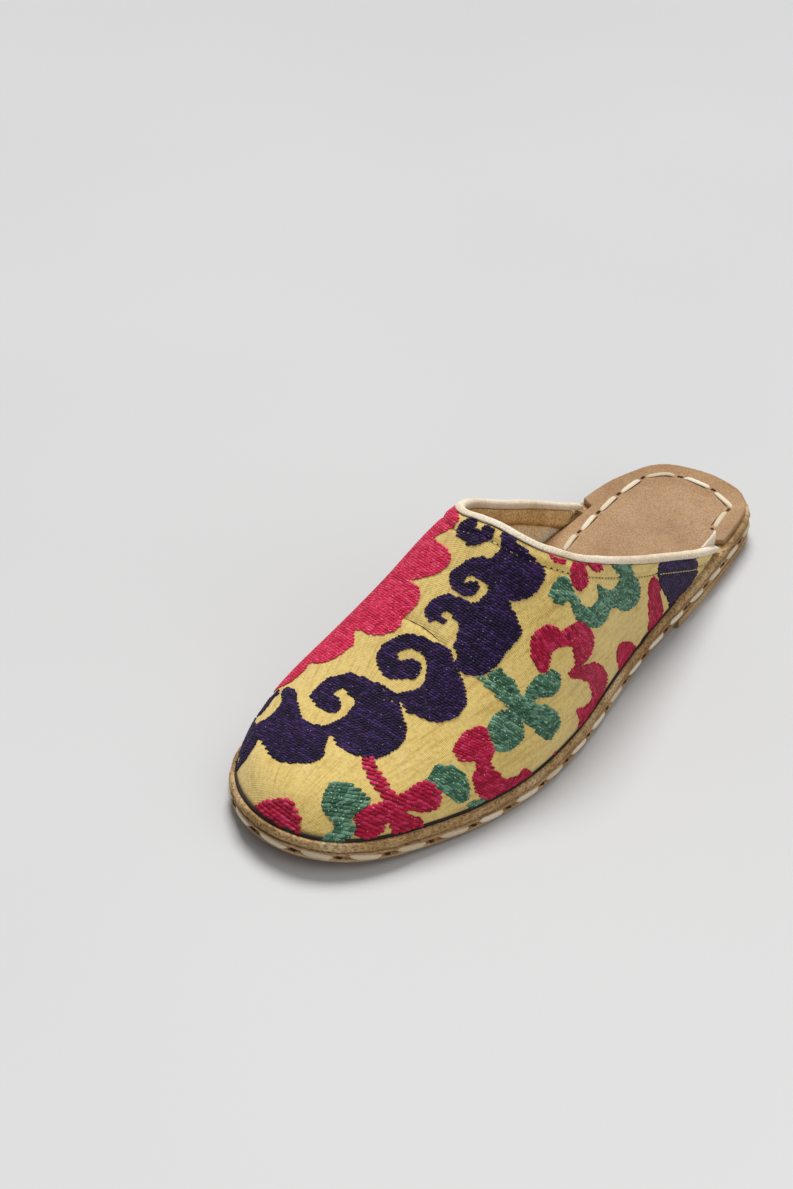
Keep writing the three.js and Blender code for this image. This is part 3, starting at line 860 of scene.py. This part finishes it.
def woven_ground(colour, name, thread=0.55):
    """Cotton, plain woven and dyed: matt, with threads that cross, small slubs and the faint
    diagonal streaks that the cloth took when it was pulled over the last. The thread's width is
    in millimetres."""
    material, tree = start_material(name)
    uv = add(tree, "UVMap", uv_map="cloth").outputs[0]
    bands = []
    for direction in ("X", "Y"):
        bands.append(add(tree, "TexWave", {"Vector": uv, "Scale": WAVE * CLOTH_UNIT / thread,
                                           "Distortion": 1.2, "Detail": 2.0, "Detail Scale": 3.0},
                         wave_type="BANDS", bands_direction=direction).outputs["Fac"])
    weave = add(tree, "Math", {0: bands[0], 1: bands[1]}, operation="MAXIMUM").outputs[0]
    place = add(tree, "TexCoord").outputs["Object"]
    cloud = add(tree, "TexNoise", {"Vector": place, "Scale": 60, "Detail": 6, "Roughness": 0.6})
    slub = add(tree, "TexNoise", {"Vector": place, "Scale": 900, "Detail": 3})
    mixed = add(tree, "ValToRGB", {"Fac": cloud.outputs["Fac"]},
                stops=[(0.22, "#CBA650"), (0.4, colour), (0.62, colour), (0.8, "#F3DE9F")])
    mixed = mixed.outputs[0]
    pulled = add(tree, "Mapping", {"Vector": uv, "Rotation": (0, 0, math.radians(52)),
                                   "Scale": (5, 40, 1)}).outputs[0]
    streak = add(tree, "TexNoise", {"Vector": pulled, "Scale": 1.6, "Detail": 5,
                                    "Roughness": 0.6}).outputs["Fac"]
    worn = add(tree, "ValToRGB", {"Fac": streak}, stops=[(0.32, "#C2A468"), (0.52, "#FFFFFF")])
    fine = add(tree, "ValToRGB", {"Fac": slub.outputs["Fac"]},
               stops=[(0.3, "#D6C8A2"), (0.55, "#FFFFFF")])
    shaded = add(tree, "ValToRGB", {"Fac": weave}, stops=[(0.0, "#A88F55"), (0.6, "#FFFFFF")])
    for share, over in ((0.55, fine), (0.4, shaded), (0.45, worn)):
        mixed = add(tree, "Mix", {0: share, 6: mixed, 7: over.outputs[0]},
                    data_type="RGBA", blend_type="MULTIPLY").outputs[2]
    height = add(tree, "Math", {0: weave, 1: slub.outputs["Fac"]}, operation="ADD").outputs[0]
    bump = add(tree, "Bump", {"Strength": 0.45, "Distance": 0.00025, "Height": height})
    end_material(tree, Base_Color=mixed, Roughness=0.82, Normal=bump.outputs[0],
                 Sheen_Weight=0.25, Sheen_Roughness=0.5, Specular_IOR_Level=0.25)
    return material


def twisted_thread(name, dark, mid, light, glint=None, glint_level=0.66):
    """Cotton thread, twisted and chain-stitched: each stitch has its own depth of dye, and tiny light
    flecks scattered by noise are painted highlights, glints on the thread."""
    material, tree = start_material(name)
    shade = add(tree, "Attribute", attribute_name="shade").outputs["Fac"]
    uv = add(tree, "UVMap", uv_map="strand").outputs[0]
    turned = add(tree, "Mapping", {"Vector": uv, "Rotation": (0, 0, math.radians(28))})
    strand = add(tree, "TexWave", {"Vector": turned.outputs[0], "Scale": 1.1, "Distortion": 1.0},
                 bands_direction="Y")
    tone = add(tree, "ValToRGB", {"Fac": shade},
               stops=[(0.1, dark), (0.5, mid), (0.95, light)])
    lit = add(tree, "ValToRGB", {"Fac": strand.outputs["Fac"]},
              stops=[(0.0, "#8A8A8A"), (0.6, "#FFFFFF")])
    mixed = add(tree, "Mix", {0: 0.6, 6: tone.outputs[0], 7: lit.outputs[0]},
                data_type="RGBA", blend_type="MULTIPLY").outputs[2]
    if glint:
        # Painted highlights: tiny spots picked by noise take the glint colour
        place = add(tree, "TexCoord").outputs["Object"]
        speck = add(tree, "TexNoise", {"Vector": place, "Scale": 1500, "Detail": 1})
        core = add(tree, "ValToRGB", {"Fac": speck.outputs["Fac"]},
                   stops=[(glint_level, "#000000"), (glint_level + 0.06, "#FFFFFF")])
        mixed = add(tree, "Mix", {0: core.outputs[0], 6: mixed, 7: (*linear(glint), 1)},
                    data_type="RGBA").outputs[2]
    bump = add(tree, "Bump", {"Strength": 0.5, "Distance": 0.0001,
                              "Height": strand.outputs["Fac"]})
    end_material(tree, Base_Color=mixed, Roughness=0.6, Normal=bump.outputs[0],
                 Sheen_Weight=0.03, Sheen_Roughness=0.4, Specular_IOR_Level=0.18)
    return material


def mottled(name, dark, mid, light, grain_mm, roughness, bump_depth=0.0002, streak=(1, 1, 1),
            pit="#8C8078"):
    """Leather or tape: clouded by the tan or the wash, with pores or fibres of a size."""
    material, tree = start_material(name)
    place = add(tree, "TexCoord").outputs["Object"]
    drawn = add(tree, "Mapping", {"Vector": place, "Scale": streak}).outputs[0]
    cloud = add(tree, "TexNoise", {"Vector": drawn, "Scale": 45, "Detail": 8, "Roughness": 0.65})
    pores = add(tree, "TexNoise", {"Vector": drawn, "Scale": 1000 / grain_mm, "Detail": 5,
                                   "Roughness": 0.7})
    tone = add(tree, "ValToRGB", {"Fac": cloud.outputs["Fac"]},
               stops=[(0.28, dark), (0.5, mid), (0.75, light)])
    fine = add(tree, "ValToRGB", {"Fac": pores.outputs["Fac"]},
               stops=[(0.36, pit), (0.58, "#FFFFFF")])
    mixed = add(tree, "Mix", {0: 0.7, 6: tone.outputs[0], 7: fine.outputs[0]},
                data_type="RGBA", blend_type="MULTIPLY").outputs[2]
    bump = add(tree, "Bump", {"Strength": 0.6, "Distance": bump_depth,
                              "Height": pores.outputs["Fac"]})
    end_material(tree, Base_Color=mixed, Roughness=roughness, Normal=bump.outputs[0],
                 Specular_IOR_Level=0.35)
    return material


# Sizes and colours that a user would change

def a_length(name, description, default, least, most):
    """A length that a user can change."""
    return bpy.props.FloatProperty(name=name, description=description, unit="LENGTH",
                                   subtype="DISTANCE", default=default, min=least, max=most)


def a_colour(name, description, code):
    """A colour that a user can change."""
    return bpy.props.FloatVectorProperty(name=name, description=description, subtype="COLOR",
                                         size=3, min=0, max=1, default=linear(code))


class SlipperCloth(bpy.types.PropertyGroup):
    """The upper, its lining and its binding."""
    ground: a_colour("Ground", "Colour of the upper's cotton", "#E3C878")
    facing_width: a_length("Facing", "Width of the suede facing below the binding",
                           0.0065, 0.002, 0.015)
    fold_depth: a_length("Fold depth", "Depth of the upper's soft creases", 0.0008, 0, 0.002)


class SlipperThread(bpy.types.PropertyGroup):
    """The chain stitch of the motifs."""
    row: a_length("Row spacing", "Distance between rows of chain stitch", 0.0009, 0.0006, 0.004)
    length: a_length("Stitch length", "Length of one chain stitch", 0.00145, 0.001, 0.006)
    width: a_length("Thread width", "Width of one chain stitch", 0.00104, 0.0005, 0.004)
    height: a_length("Thread height", "How far the thread stands off the cloth",
                     0.0007, 0.0002, 0.002)
    purple: a_colour("Purple", "Colour of the scrolls", "#220E37")
    crimson: a_colour("Crimson", "Colour of the buds and hearts", "#BC103C")
    rose: a_colour("Rose", "Colour of the scalloped band", "#E82A56")
    green: a_colour("Green", "Colour of the leaves", "#47745A")


class SlipperSole(bpy.types.PropertyGroup):
    """The sole and its sewing."""
    stitch_length: a_length("Sole stitch", "Length of one stitch in the side of the sole",
                            0.0122, 0.004, 0.02)
    stitch_gap: a_length("Sole stitch gap", "Distance between two stitches",
                         0.0034, 0.001, 0.01)


# Operators, one for each piece or group of like pieces

KEPT = {}       # what the upper and the embroidery leave for the operators that follow


class SLIPPER_OT_upper(bpy.types.Operator):
    """Draws the cloth upper over the last, with its creases"""
    bl_idname = "slipper.upper"
    bl_label = "Upper"

    def execute(self, context):
        cloth = context.scene.slipper_cloth
        bm = merged("upper")
        crease_sharp(bm, math.radians(50), 0.85)
        mesh = subdivided(bm, 2)
        outer = Skin(tree_of(mesh, faces_out))
        creases = [(near_line([outer.seen(p)[0] for p in line]), wide * MM, deep)
                   for line, wide, deep in CREASES]
        crest = KEPT["crest"] = topline()
        edge = near_line(crest)
        bm = bmesh.new()
        bm.from_mesh(mesh)
        # Smaller faces near the top edge and the creases, so that they can be drawn
        below, beside = 0.012, 0.0035
        drawn = {v for v in bm.verts if faces_out(v.co, v.normal) and (
            edge.find(v.co)[2] < below
            or any(line.find(v.co)[2] < beside for line, _, _ in creases))}
        bmesh.ops.subdivide_edges(bm, edges=[e for e in bm.edges if drawn.issuperset(e.verts)],
                                  cuts=2, use_grid_fill=True)
        bm.to_mesh(mesh)
        bm.free()

        def relief(point, normal):
            """How the cloth's own lumps, its creases and the topline row move a place."""
            shift = LUMP_HEIGHT * lump(point, LUMP_SIZE, 1)
            for line, wide, deep in creases:
                near = line.find(point)[2]
                if near < wide * 3:
                    shift += cloth.fold_depth * deep * math.exp(-(near / wide) ** 2)
            down = edge.find(point)[2] - TOPSTITCH_BELOW
            shift -= FURROW_DEPTH * math.exp(-(down / FURROW_WIDTH) ** 2)
            shift += PUFF_HEIGHT * math.exp(-((down + PUFF_ABOVE) / PUFF_WIDTH) ** 2)
            return normal * (1 if faces_out(point, normal) else -1) * shift

        displace(mesh, relief)
        mesh.update()
        layer = mesh.uv_layers.new(name="cloth")
        for polygon in mesh.polygons:
            for i in polygon.loop_indices:
                along, around = unrolled(mesh.vertices[mesh.loops[i].vertex_index].co)
                layer.data[i].uv = (along / CLOTH_UNIT, around / CLOTH_UNIT)
            polygon.material_index = int(not faces_out(polygon.center, polygon.normal))
        # Yellow cotton outside, matt and finely crossed; inside, split leather, soft and pale
        piece = piece_of(mesh, "cloth_upper",
                         woven_ground(tuple(cloth.ground), "plain_woven_cotton_dyed"),
                         mottled("split_leather_lining", "#E0C188", "#F8E2B6", "#FFF2D4",
                                 grain_mm=0.7, roughness=0.9, bump_depth=0.00012))
        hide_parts("upper")
        KEPT["outer"] = Skin(tree_of(mesh, faces_out))
        KEPT["inner"] = Skin(tree_of(mesh, lambda centre, normal: not faces_out(centre, normal)))
        return {"FINISHED"}


class SLIPPER_OT_seam_shadow(bpy.types.Operator):
    """Lays a thin dark strip into the seam between the upper and the sole: painted shadow of the
    seam's recess
    """
    bl_idname = "slipper.rand"
    bl_label = "Seam shadow"

    def execute(self, context):
        skin = KEPT["outer"]
        welt = tree_of(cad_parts["midsole"].data)
        rows = [[], [], []]
        rays = 360
        for k in range(rays + 1):
            turn = math.radians(60 - 300 * k / rays)
            out = Vector((math.cos(turn), math.sin(turn), 0))
            foot = Vector((0, 0, 0.018))
            hit = None
            for _ in range(3):
                found = skin.tree.ray_cast(foot + out * OUTSIDE, -out)[0]
                if found:
                    hit = found
                    foot.z = tread(found.y) + SEAM
            if hit is None:
                continue
            # It shows more towards the toe, and nowhere quite evenly
            toe = min(max((-hit.y - 0.02) / 0.08, 0), 1)
            tall = 0.0005 + 0.0006 * toe + 0.0003 * noise.noise(hit / 0.02)
            over = hit + out * 0.0009
            top = welt.ray_cast(Vector((over.x, over.y, over.z + 0.02)), Vector((0, 0, -1)))[0]
            base = top.z if top else tread(hit.y) + MIDSOLE_TOP
            level = Vector((0, 0, base))
            # Its rows stand out past the widest place of the upper just over the sole
            wide = max((skin.tree.ray_cast(level + Vector((0, 0, rise)) + out * OUTSIDE, -out)[0]
                        or hit).dot(out) for rise in (0.0003, 0.001, 0.0018, 0.0026))
            for row, rise, off in zip(rows, (0.0001, tall * 0.5, tall), (0.0006, 0.0004, 0.0001)):
                row.append(out * (wide + off) + level + Vector((0, 0, rise)))
        # Painted shadow of the seam's recess: a thin near-black strip that reads as a dark line,
        # hardly shining
        strip = band("painted_seam_shadow", rows,
                     mottled("seam_gap_painted_shadow", "#15100E", "#241B18", "#3A2C26",
                             grain_mm=0.6, roughness=0.7),
                     thickness=0.0004)
        return {"FINISHED"}


class SLIPPER_OT_embroidery(bpy.types.Operator):
    """Sews the motifs in rows of chain stitch"""
    bl_idname = "slipper.embroidery"
    bl_label = "Embroidery"

    def execute(self, context):
        thread = context.scene.slipper_thread
        skin = KEPT["outer"]
        rng = random.Random(11)
        sewn = {"purple": [], "crimson": [], "rose": [], "green": []}
        loops = KEPT["loops"] = []
        for motif in CHART.values():
            pitch = motif.get("pitch", 1.0)
            sizes = (thread.row * pitch, thread.length * pitch, thread.width * pitch,
                     thread.height * pitch)
            loop, seeds, headings = placed(skin, motif)
            loops.append(loop)
            sewn[motif["thread"]] += fill(skin, loop, seeds, headings, sizes, rng)
        base = grain(segments=6, rings=4, taper=0.3, blunt=0.68)
        # Loosely twisted cotton: soft ribs with a dull shine, each stitch lighter on its crown
        # Each thread: dark, mid and light dye, then the painted highlight colour and the noise level
        # where it starts
        threads = {
            "purple": ("#0F061A", tuple(thread.purple), "#523276", "#A893BE", 0.72),
            "crimson": ("#820C2C", tuple(thread.crimson), "#E8487A", "#F29AB4", 0.71),
            "rose": ("#B41440", tuple(thread.rose), "#FA6088", "#FFB4C6", 0.7),
            "green": ("#1C4233", tuple(thread.green), "#93C3A4", "#C6DABC", 0.655),
        }
        # One dark strand laid along the trough of the first crease: painted crease shadow
        crease_shadow_places = [skin.seen(p) for p in ((403, 617), (409, 620), (415, 623), (421, 626), (427, 630),
                                          (433, 635), (439, 641), (443, 645))]
        wide, high, slant, shade = 0.00032, 0.0003, 0, 0.3
        strand = laid("painted_crease_shadow", [(crease_shadow_places, wide, high, slant, shade)],
                      grain(segments=6, rings=16, taper=0, blunt=0.9),
                      twisted_thread("crease_shadow_paint", "#2A1C12", "#4A3524", "#6B5038"))
        for name, stitches in sewn.items():
            piece = stitched(f"{name}_embroidery", stitches, base,
                             twisted_thread(f"twisted_cotton_{name}", *threads[name]))
        return {"FINISHED"}


class SLIPPER_OT_binding(bpy.types.Operator):
    """Folds the tape over the top edge, with the suede facing inside it"""
    bl_idname = "slipper.binding"
    bl_label = "Binding and facing"

    def execute(self, context):
        cloth = context.scene.slipper_cloth
        bm = merged("binding")
        crease_sharp(bm, math.radians(70), 0.6)
        mesh = subdivided(bm, 2)
        displace(mesh, lambda point, normal: normal * (
            lump(point, 0.002, 3) * 0.00008 + lump(point, 0.009, 4) * 0.00018))
        # Cotton tape, closely woven and folded: plain cream, softly uneven, no shine
        cream = mottled("cotton_tape_binding", "#DCC8A8", "#F0E0C6", "#FAF1E0",
                        grain_mm=0.35, roughness=0.8, bump_depth=0.00012)
        tape = piece_of(mesh, "bound_edge", cream)
        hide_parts("binding")
        crest = KEPT["crest"]
        skin = KEPT["inner"]
        rows = []
        facing_below = 0.0028       # from the crest down to the facing's upper edge
        for share in range(4):
            depth = facing_below + cloth.facing_width * share / 3
            line = even(parallel(skin, crest[1:-1], depth, -1), CREST_STEP)
            rows.append([skin.drop(point)[0] + skin.drop(point)[1] * 0.00025 for point in line])
        count = min(len(row) for row in rows)
        rows = [[row[round(k * (len(row) - 1) / (count - 1))] for k in range(count)]
                for row in rows]
        # Suede, buffed: golden tan with a short nap that takes the light without a glint
        strip = band("suede_facing", rows,
                     mottled("buffed_suede_facing", "#B98F55", "#E3BE82", "#F3D8A4",
                             grain_mm=0.9, roughness=0.95, bump_depth=0.0003, pit="#8A6A48"),
                     thickness=0.0005)
        # The tape runs on past the wing's tip and opens there from a narrow fold to a flat end
        run = (crest[0] - crest[3]).normalized()
        tail, past, narrow, opened = 0.0115, 0.0080, 0.0019, 0.0056
        tip = crest[0] + run * past
        rows = []
        for up in range(4):
            rise = up / 3
            row = []
            for step in range(7):
                along = step / 6
                tall = narrow + opened * along ** 1.3
                bulge = 0.0003 + 0.0007 * math.sin(rise * 2.6) * along
                row.append(tip - run * tail * (1 - along)
                           + Vector((bulge, 0.0006 * rise * along, rise * tall - 0.0014)))
            rows.append(row)
        band("folded_tape_end", rows, cream, 0.0006)
        return {"FINISHED"}


class SLIPPER_OT_topstitch(bpy.types.Operator):
    """Runs the line of small stitches below the binding, with a painted shadow mark at each needle
    hole between them
    """
    bl_idname = "slipper.topstitch"
    bl_label = "Topstitch"

    def execute(self, context):
        skin, rng = KEPT["outer"], random.Random(5)
        line = even(parallel(skin, KEPT["crest"][1:-1], TOPSTITCH_BELOW), TOPSTITCH_PITCH)
        stitch = (0.0016, 0.0005, 0.0005)       # long, wide, high
        hole = (0.0011, 0.0006, 0.0004)
        stitches, hole_shadows = [], []
        for before, after in zip(line, line[1:]):
            place, normal = skin.drop((before + after) / 2)
            chart = np.array([unrolled(place)])
            # On the wing's motif the row stands out; in the deeper pile by the throat it sinks
            sewn_over = any(inside(chart, loop)[0] for loop in KEPT["loops"])
            rise = 0.00012
            if sewn_over:
                rise = 0.00058 if place.y > 0.03 else 0.0002
            along = (after - before).normalized()
            stitches.append((place + normal * rise, along, normal, *stitch,
                             rng.uniform(0.3, 0.8)))
            place, normal = skin.drop(after)
            hole_shadows.append((place + normal * (rise - 0.0001), along, normal, *hole,
                          rng.uniform(0.2, 0.8)))
        base = grain(segments=6, rings=4, taper=0)
        # Machine thread of undyed cotton: small cream dashes, almost lost on the yellow
        thread = twisted_thread("twisted_cotton_undyed", "#B79B5C", "#D8C083", "#F0E2B8")
        # Painted shadow of the pulled groove: a small, brown, matt mark at each needle hole
        dark = mottled("painted_needle_hole_shadow", "#3E2C14", "#5E4420", "#7C5E30",
                       grain_mm=0.5, roughness=0.95)
        stitched("topline_stitches", stitches, base, thread)
        stitched("topline_hole_shadows", hole_shadows, base, dark)
        return {"FINISHED"}


class SLIPPER_OT_sole(bpy.types.Operator):
    """Finishes the leather layers of the sole"""
    bl_idname = "slipper.sole"
    bl_label = "Sole"

    def execute(self, context):
        # Vegetable-tanned leather, cut by hand: warm tan, with layers that run along the edge
        edge = mottled("vegetable_tanned_leather_cut", "#8E6A3E", "#BE986A", "#DCC096",
                       grain_mm=0.9, roughness=0.75, bump_depth=0.0003, streak=(1, 1, 4),
                       pit="#6E5842")
        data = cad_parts["heel_lift"].data
        data.materials.clear()
        data.materials.append(edge)
        # Split leather, torn rather than cut at its edge: coarse fibres, light and dark, no shine
        rough_edge = mottled("split_leather_rough_edge", "#86623A", "#BC9663", "#E8CDA0",
                             grain_mm=1.0, roughness=0.95, bump_depth=0.0007,
                             streak=(1, 1, 1.4), pit="#3A2A18")
        for name, made, levels, rough, material in (
                ("outsole", "cut_outsole", 2, 0.00012, edge),
                ("midsole", "rough_midsole", 3, 0.0004, rough_edge)):
            bm = merged(name)
            crease_sharp(bm, math.radians(50), 0.8)
            mesh = subdivided(bm, levels)
            displace(mesh, lambda point, normal: Vector((normal.x, normal.y, normal.z * 0.15))
                     * (lump(point, 0.0014, 7) + lump(point, 0.006, 8) * 0.7) * rough)
            piece = piece_of(mesh, made, material)
            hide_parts(name)
        bm = merged("insole")
        sharp = [e for e in bm.edges if len(e.link_faces) == 2 and e.calc_face_angle() > 1.0]
        bmesh.ops.bevel(bm, geom=sharp, offset=0.0005, affect="EDGES", segments=2, profile=0.5,
                        material=-1)
        # A hand-cut outline wavers by half a millimetre
        for v in bm.verts:
            out = Vector((v.co.x, v.co.y * 0.2, 0)).normalized()
            v.co += out * 0.0005 * noise.noise(v.co / 0.012)
        # Smooth tan leather, rolled: even, with fine pores and a faint polish
        piece = finished(bm, "hand_cut_insole",
                         mottled("smooth_tan_leather_insole", "#987047", "#AA855C", "#BA966B",
                                 grain_mm=0.5, roughness=0.6, bump_depth=0.00008))
        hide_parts("insole")
        return {"FINISHED"}


class SLIPPER_OT_sole_stitches(bpy.types.Operator):
    """Sews the side of the sole and the line on the insole"""
    bl_idname = "slipper.sole_stitches"
    bl_label = "Sole stitches"

    def execute(self, context):
        sole = context.scene.slipper_sole
        tree = tree_of(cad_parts["outsole"].data)
        line = []
        rays = 720
        for k in range(rays):
            turn = math.radians(360 * k / rays)
            out = Vector((math.cos(turn), math.sin(turn), 0))
            y = 0.0
            for _ in range(3):
                start = Vector((0, 0, tread(y) + CHANNEL)) + out * OUTSIDE
                hit = tree.ray_cast(start, -out)[0]
                y = hit.y
            line.append(hit)
        line = even(line + line[:1], STEP)[:-1]
        up, rng = Vector((0, 0, 1)), random.Random(3)
        pitch = sole.stitch_length + sole.stitch_gap
        count = round(len(line) * STEP / pitch)
        long = round(sole.stitch_length / STEP)

        def track(start, steps):
            """A stretch of the channel, from its back wall out."""
            result = []
            for i in range(start, start + steps + 1):
                here, ahead = line[i % len(line)], line[(i + 3) % len(line)]
                out = (ahead - here).cross(up).normalized()
                result.append((here + out * 0.00085, out))
            return result

        stitch = (0.0021, 0.0014, -0.0009)      # wide, high, slanting
        hole = (0.0012, 0.0006, -0.0005)
        strands, hole_shadows = [], []
        for k in range(count):
            start = round(k * len(line) / count)
            steps = round(long * rng.uniform(0.93, 1.06))
            strands.append((track(start, steps), stitch[0] * rng.uniform(0.9, 1.1), *stitch[1:],
                            rng.uniform(0.3, 0.8)))
            gap = round(len(line) * (k + 1) / count) - start - steps
            hole_shadows.append((track(start + steps + gap // 3 - 1, 4), hole[0] * rng.uniform(0.8, 1.2),
                          *hole[1:], rng.uniform(0.2, 0.8)))
        # Waxed linen strip, drawn flat: cream, faintly ribbed, with a low wax gloss
        waxed = twisted_thread("waxed_linen_thread", "#BCA47E", "#E8D8BA", "#FAF0DC")
        # Each awl hole in the leather, and the line beside the insole's stitches: painted shade, dark
        # brown and matt
        dark = mottled("painted_hole_and_groove_shadow", "#241708", "#3E2A15", "#5C4426",
                       grain_mm=0.5, roughness=0.95)
        base = grain(segments=10, rings=12, taper=0, blunt=0.62)
        laid("side_stitches", strands, base, waxed)
        laid("side_hole_shadows", hole_shadows, base, dark)
        row = even([Vector((x * MM, y * MM, 0.04)) for x, y in INSOLE_ROW], STEP)
        floor = tree_of(bpy.data.objects["hand_cut_insole"].data)
        seat = [(floor.ray_cast(place, -up)[0], up) for place in row]
        pitch = round(INSOLE_PITCH / STEP)
        # The same for the insole, whose strands slant by chance
        stitch, hole = (0.0023, 0.0012), (0.0013, 0.0005, 0)
        groove_shadow_size, beside = (0.00055, 0.0003, 0), 0.0011
        strands, hole_shadows, groove_shadows = [], [], []
        for start in range(0, len(seat) - pitch + 6, pitch):
            steps = min(round(INSOLE_STITCH / STEP), len(seat) - 1 - start)
            part = seat[start:start + steps + 1]
            strands.append((part, *stitch, rng.uniform(0.0004, 0.001), rng.uniform(0.3, 0.8)))
            for spot in (start - 2, start + steps):
                part = seat[max(spot, 0):max(spot, 0) + 4]
                if len(part) > 2:
                    hole_shadows.append((part, *hole, 0.3))
            # Painted shadow beside each stitch, in the trough that the strand pulls in beside itself
            side = []
            for k in range(start, start + steps + 1):
                run = seat[min(k + 1, len(seat) - 1)][0] - seat[max(k - 1, 0)][0]
                side.append((seat[k][0] + run.cross(up).normalized() * beside, up))
            groove_shadows.append((side, *groove_shadow_size, rng.uniform(0.2, 0.8)))
        laid("insole_stitches", strands, base, waxed)
        laid("insole_hole_shadows", hole_shadows, base, dark)
        laid("insole_groove_shadow", groove_shadows, base, dark)
        return {"FINISHED"}


class SLIPPER_OT_stage(bpy.types.Operator):
    """Sets up the floor, the studio light and the camera"""
    bl_idname = "slipper.stage"
    bl_label = "Stage"

    def execute(self, context):
        scene = context.scene
        bm = bmesh.new()
        bmesh.ops.create_grid(bm, x_segments=1, y_segments=1, size=12)
        mesh = bpy.data.meshes.new("floor")
        bm.to_mesh(mesh)
        bm.free()
        floor = bpy.data.objects.new("floor", mesh)
        scene.collection.objects.link(floor)
        # Pale studio paper, matt and even, faintly clouded so that it isn't one flat tone
        material, tree = start_material("matt_paper_floor")
        place = add(tree, "TexCoord").outputs["Object"]
        cloud = add(tree, "TexNoise", {"Vector": place, "Scale": 3, "Detail": 2})
        tone = add(tree, "ValToRGB", {"Fac": cloud.outputs["Fac"]},
                   stops=[(0.3, "#BEBEBE"), (0.7, "#C2C2C2")])
        end_material(tree, Base_Color=tone.outputs[0], Roughness=0.9)
        mesh.materials.append(material)
        for name, kind, place, size, power in (
                ("key_light", "SUN", Vector((-0.50, 0.66, 1.5)), math.radians(28), 3.22),
                ("fill_light", "AREA", Vector((1.1, -0.15, 1.15)), 1.6, 9)):
            light = bpy.data.lights.new(name, kind)
            if kind == "SUN":
                light.angle = size
            else:
                light.size = size
            light.energy = power
            lamp = bpy.data.objects.new(name, light)
            lamp.location = place
            lamp.rotation_euler = (-place).to_track_quat("-Z", "Y").to_euler()
            scene.collection.objects.link(lamp)
        world = bpy.data.worlds.new("studio")
        world.use_nodes = True
        background = world.node_tree.nodes["Background"]
        background.inputs["Color"].default_value = (*linear("#FFFFFF"), 1)
        background.inputs["Strength"].default_value = 0.28
        scene.world = world
        scene.view_settings.view_transform = "Standard"
        lens = bpy.data.cameras.new("camera")
        lens.sensor_width = SENSOR
        lens.lens = FOCAL / PHOTO[1] * SENSOR
        lens.clip_start = 0.01
        camera = bpy.data.objects.new("camera", lens)
        turned = Matrix((RIGHT, UP, BACK)).transposed().to_4x4()
        camera.matrix_world = Matrix.Translation(EYE) @ turned
        scene.collection.objects.link(camera)
        scene.camera = camera
        return {"FINISHED"}


class SLIPPER_PT_panel(bpy.types.Panel):
    """Lists the slipper's sizes and the operators that build it"""
    bl_idname = "SLIPPER_PT_panel"
    bl_label = "Slipper"
    bl_space_type = "VIEW_3D"
    bl_region_type = "UI"
    bl_category = "Slipper"

    def draw(self, context):
        for group in (context.scene.slipper_cloth, context.scene.slipper_thread,
                      context.scene.slipper_sole):
            for name in group.__annotations__:
                self.layout.prop(group, name)
        for operator in OPERATORS:
            self.layout.operator(operator.bl_idname)


GROUPS = (SlipperCloth, SlipperThread, SlipperSole)
OPERATORS = (SLIPPER_OT_stage, SLIPPER_OT_upper, SLIPPER_OT_seam_shadow, SLIPPER_OT_embroidery,
             SLIPPER_OT_binding, SLIPPER_OT_topstitch, SLIPPER_OT_sole, SLIPPER_OT_sole_stitches)


def register():
    for cls in (*GROUPS, *OPERATORS, SLIPPER_PT_panel):
        bpy.utils.register_class(cls)
    bpy.types.Scene.slipper_cloth = bpy.props.PointerProperty(type=SlipperCloth)
    bpy.types.Scene.slipper_thread = bpy.props.PointerProperty(type=SlipperThread)
    bpy.types.Scene.slipper_sole = bpy.props.PointerProperty(type=SlipperSole)


def unregister():
    del bpy.types.Scene.slipper_cloth, bpy.types.Scene.slipper_thread, bpy.types.Scene.slipper_sole
    for cls in reversed((*GROUPS, *OPERATORS, SLIPPER_PT_panel)):
        bpy.utils.unregister_class(cls)


def main():
    register()
    bpy.ops.slipper.stage()
    bpy.ops.slipper.upper()
    bpy.ops.slipper.rand()
    bpy.ops.slipper.embroidery()
    bpy.ops.slipper.binding()
    bpy.ops.slipper.topstitch()
    bpy.ops.slipper.sole()
    bpy.ops.slipper.sole_stitches()


if __name__ == "__main__":
    main()
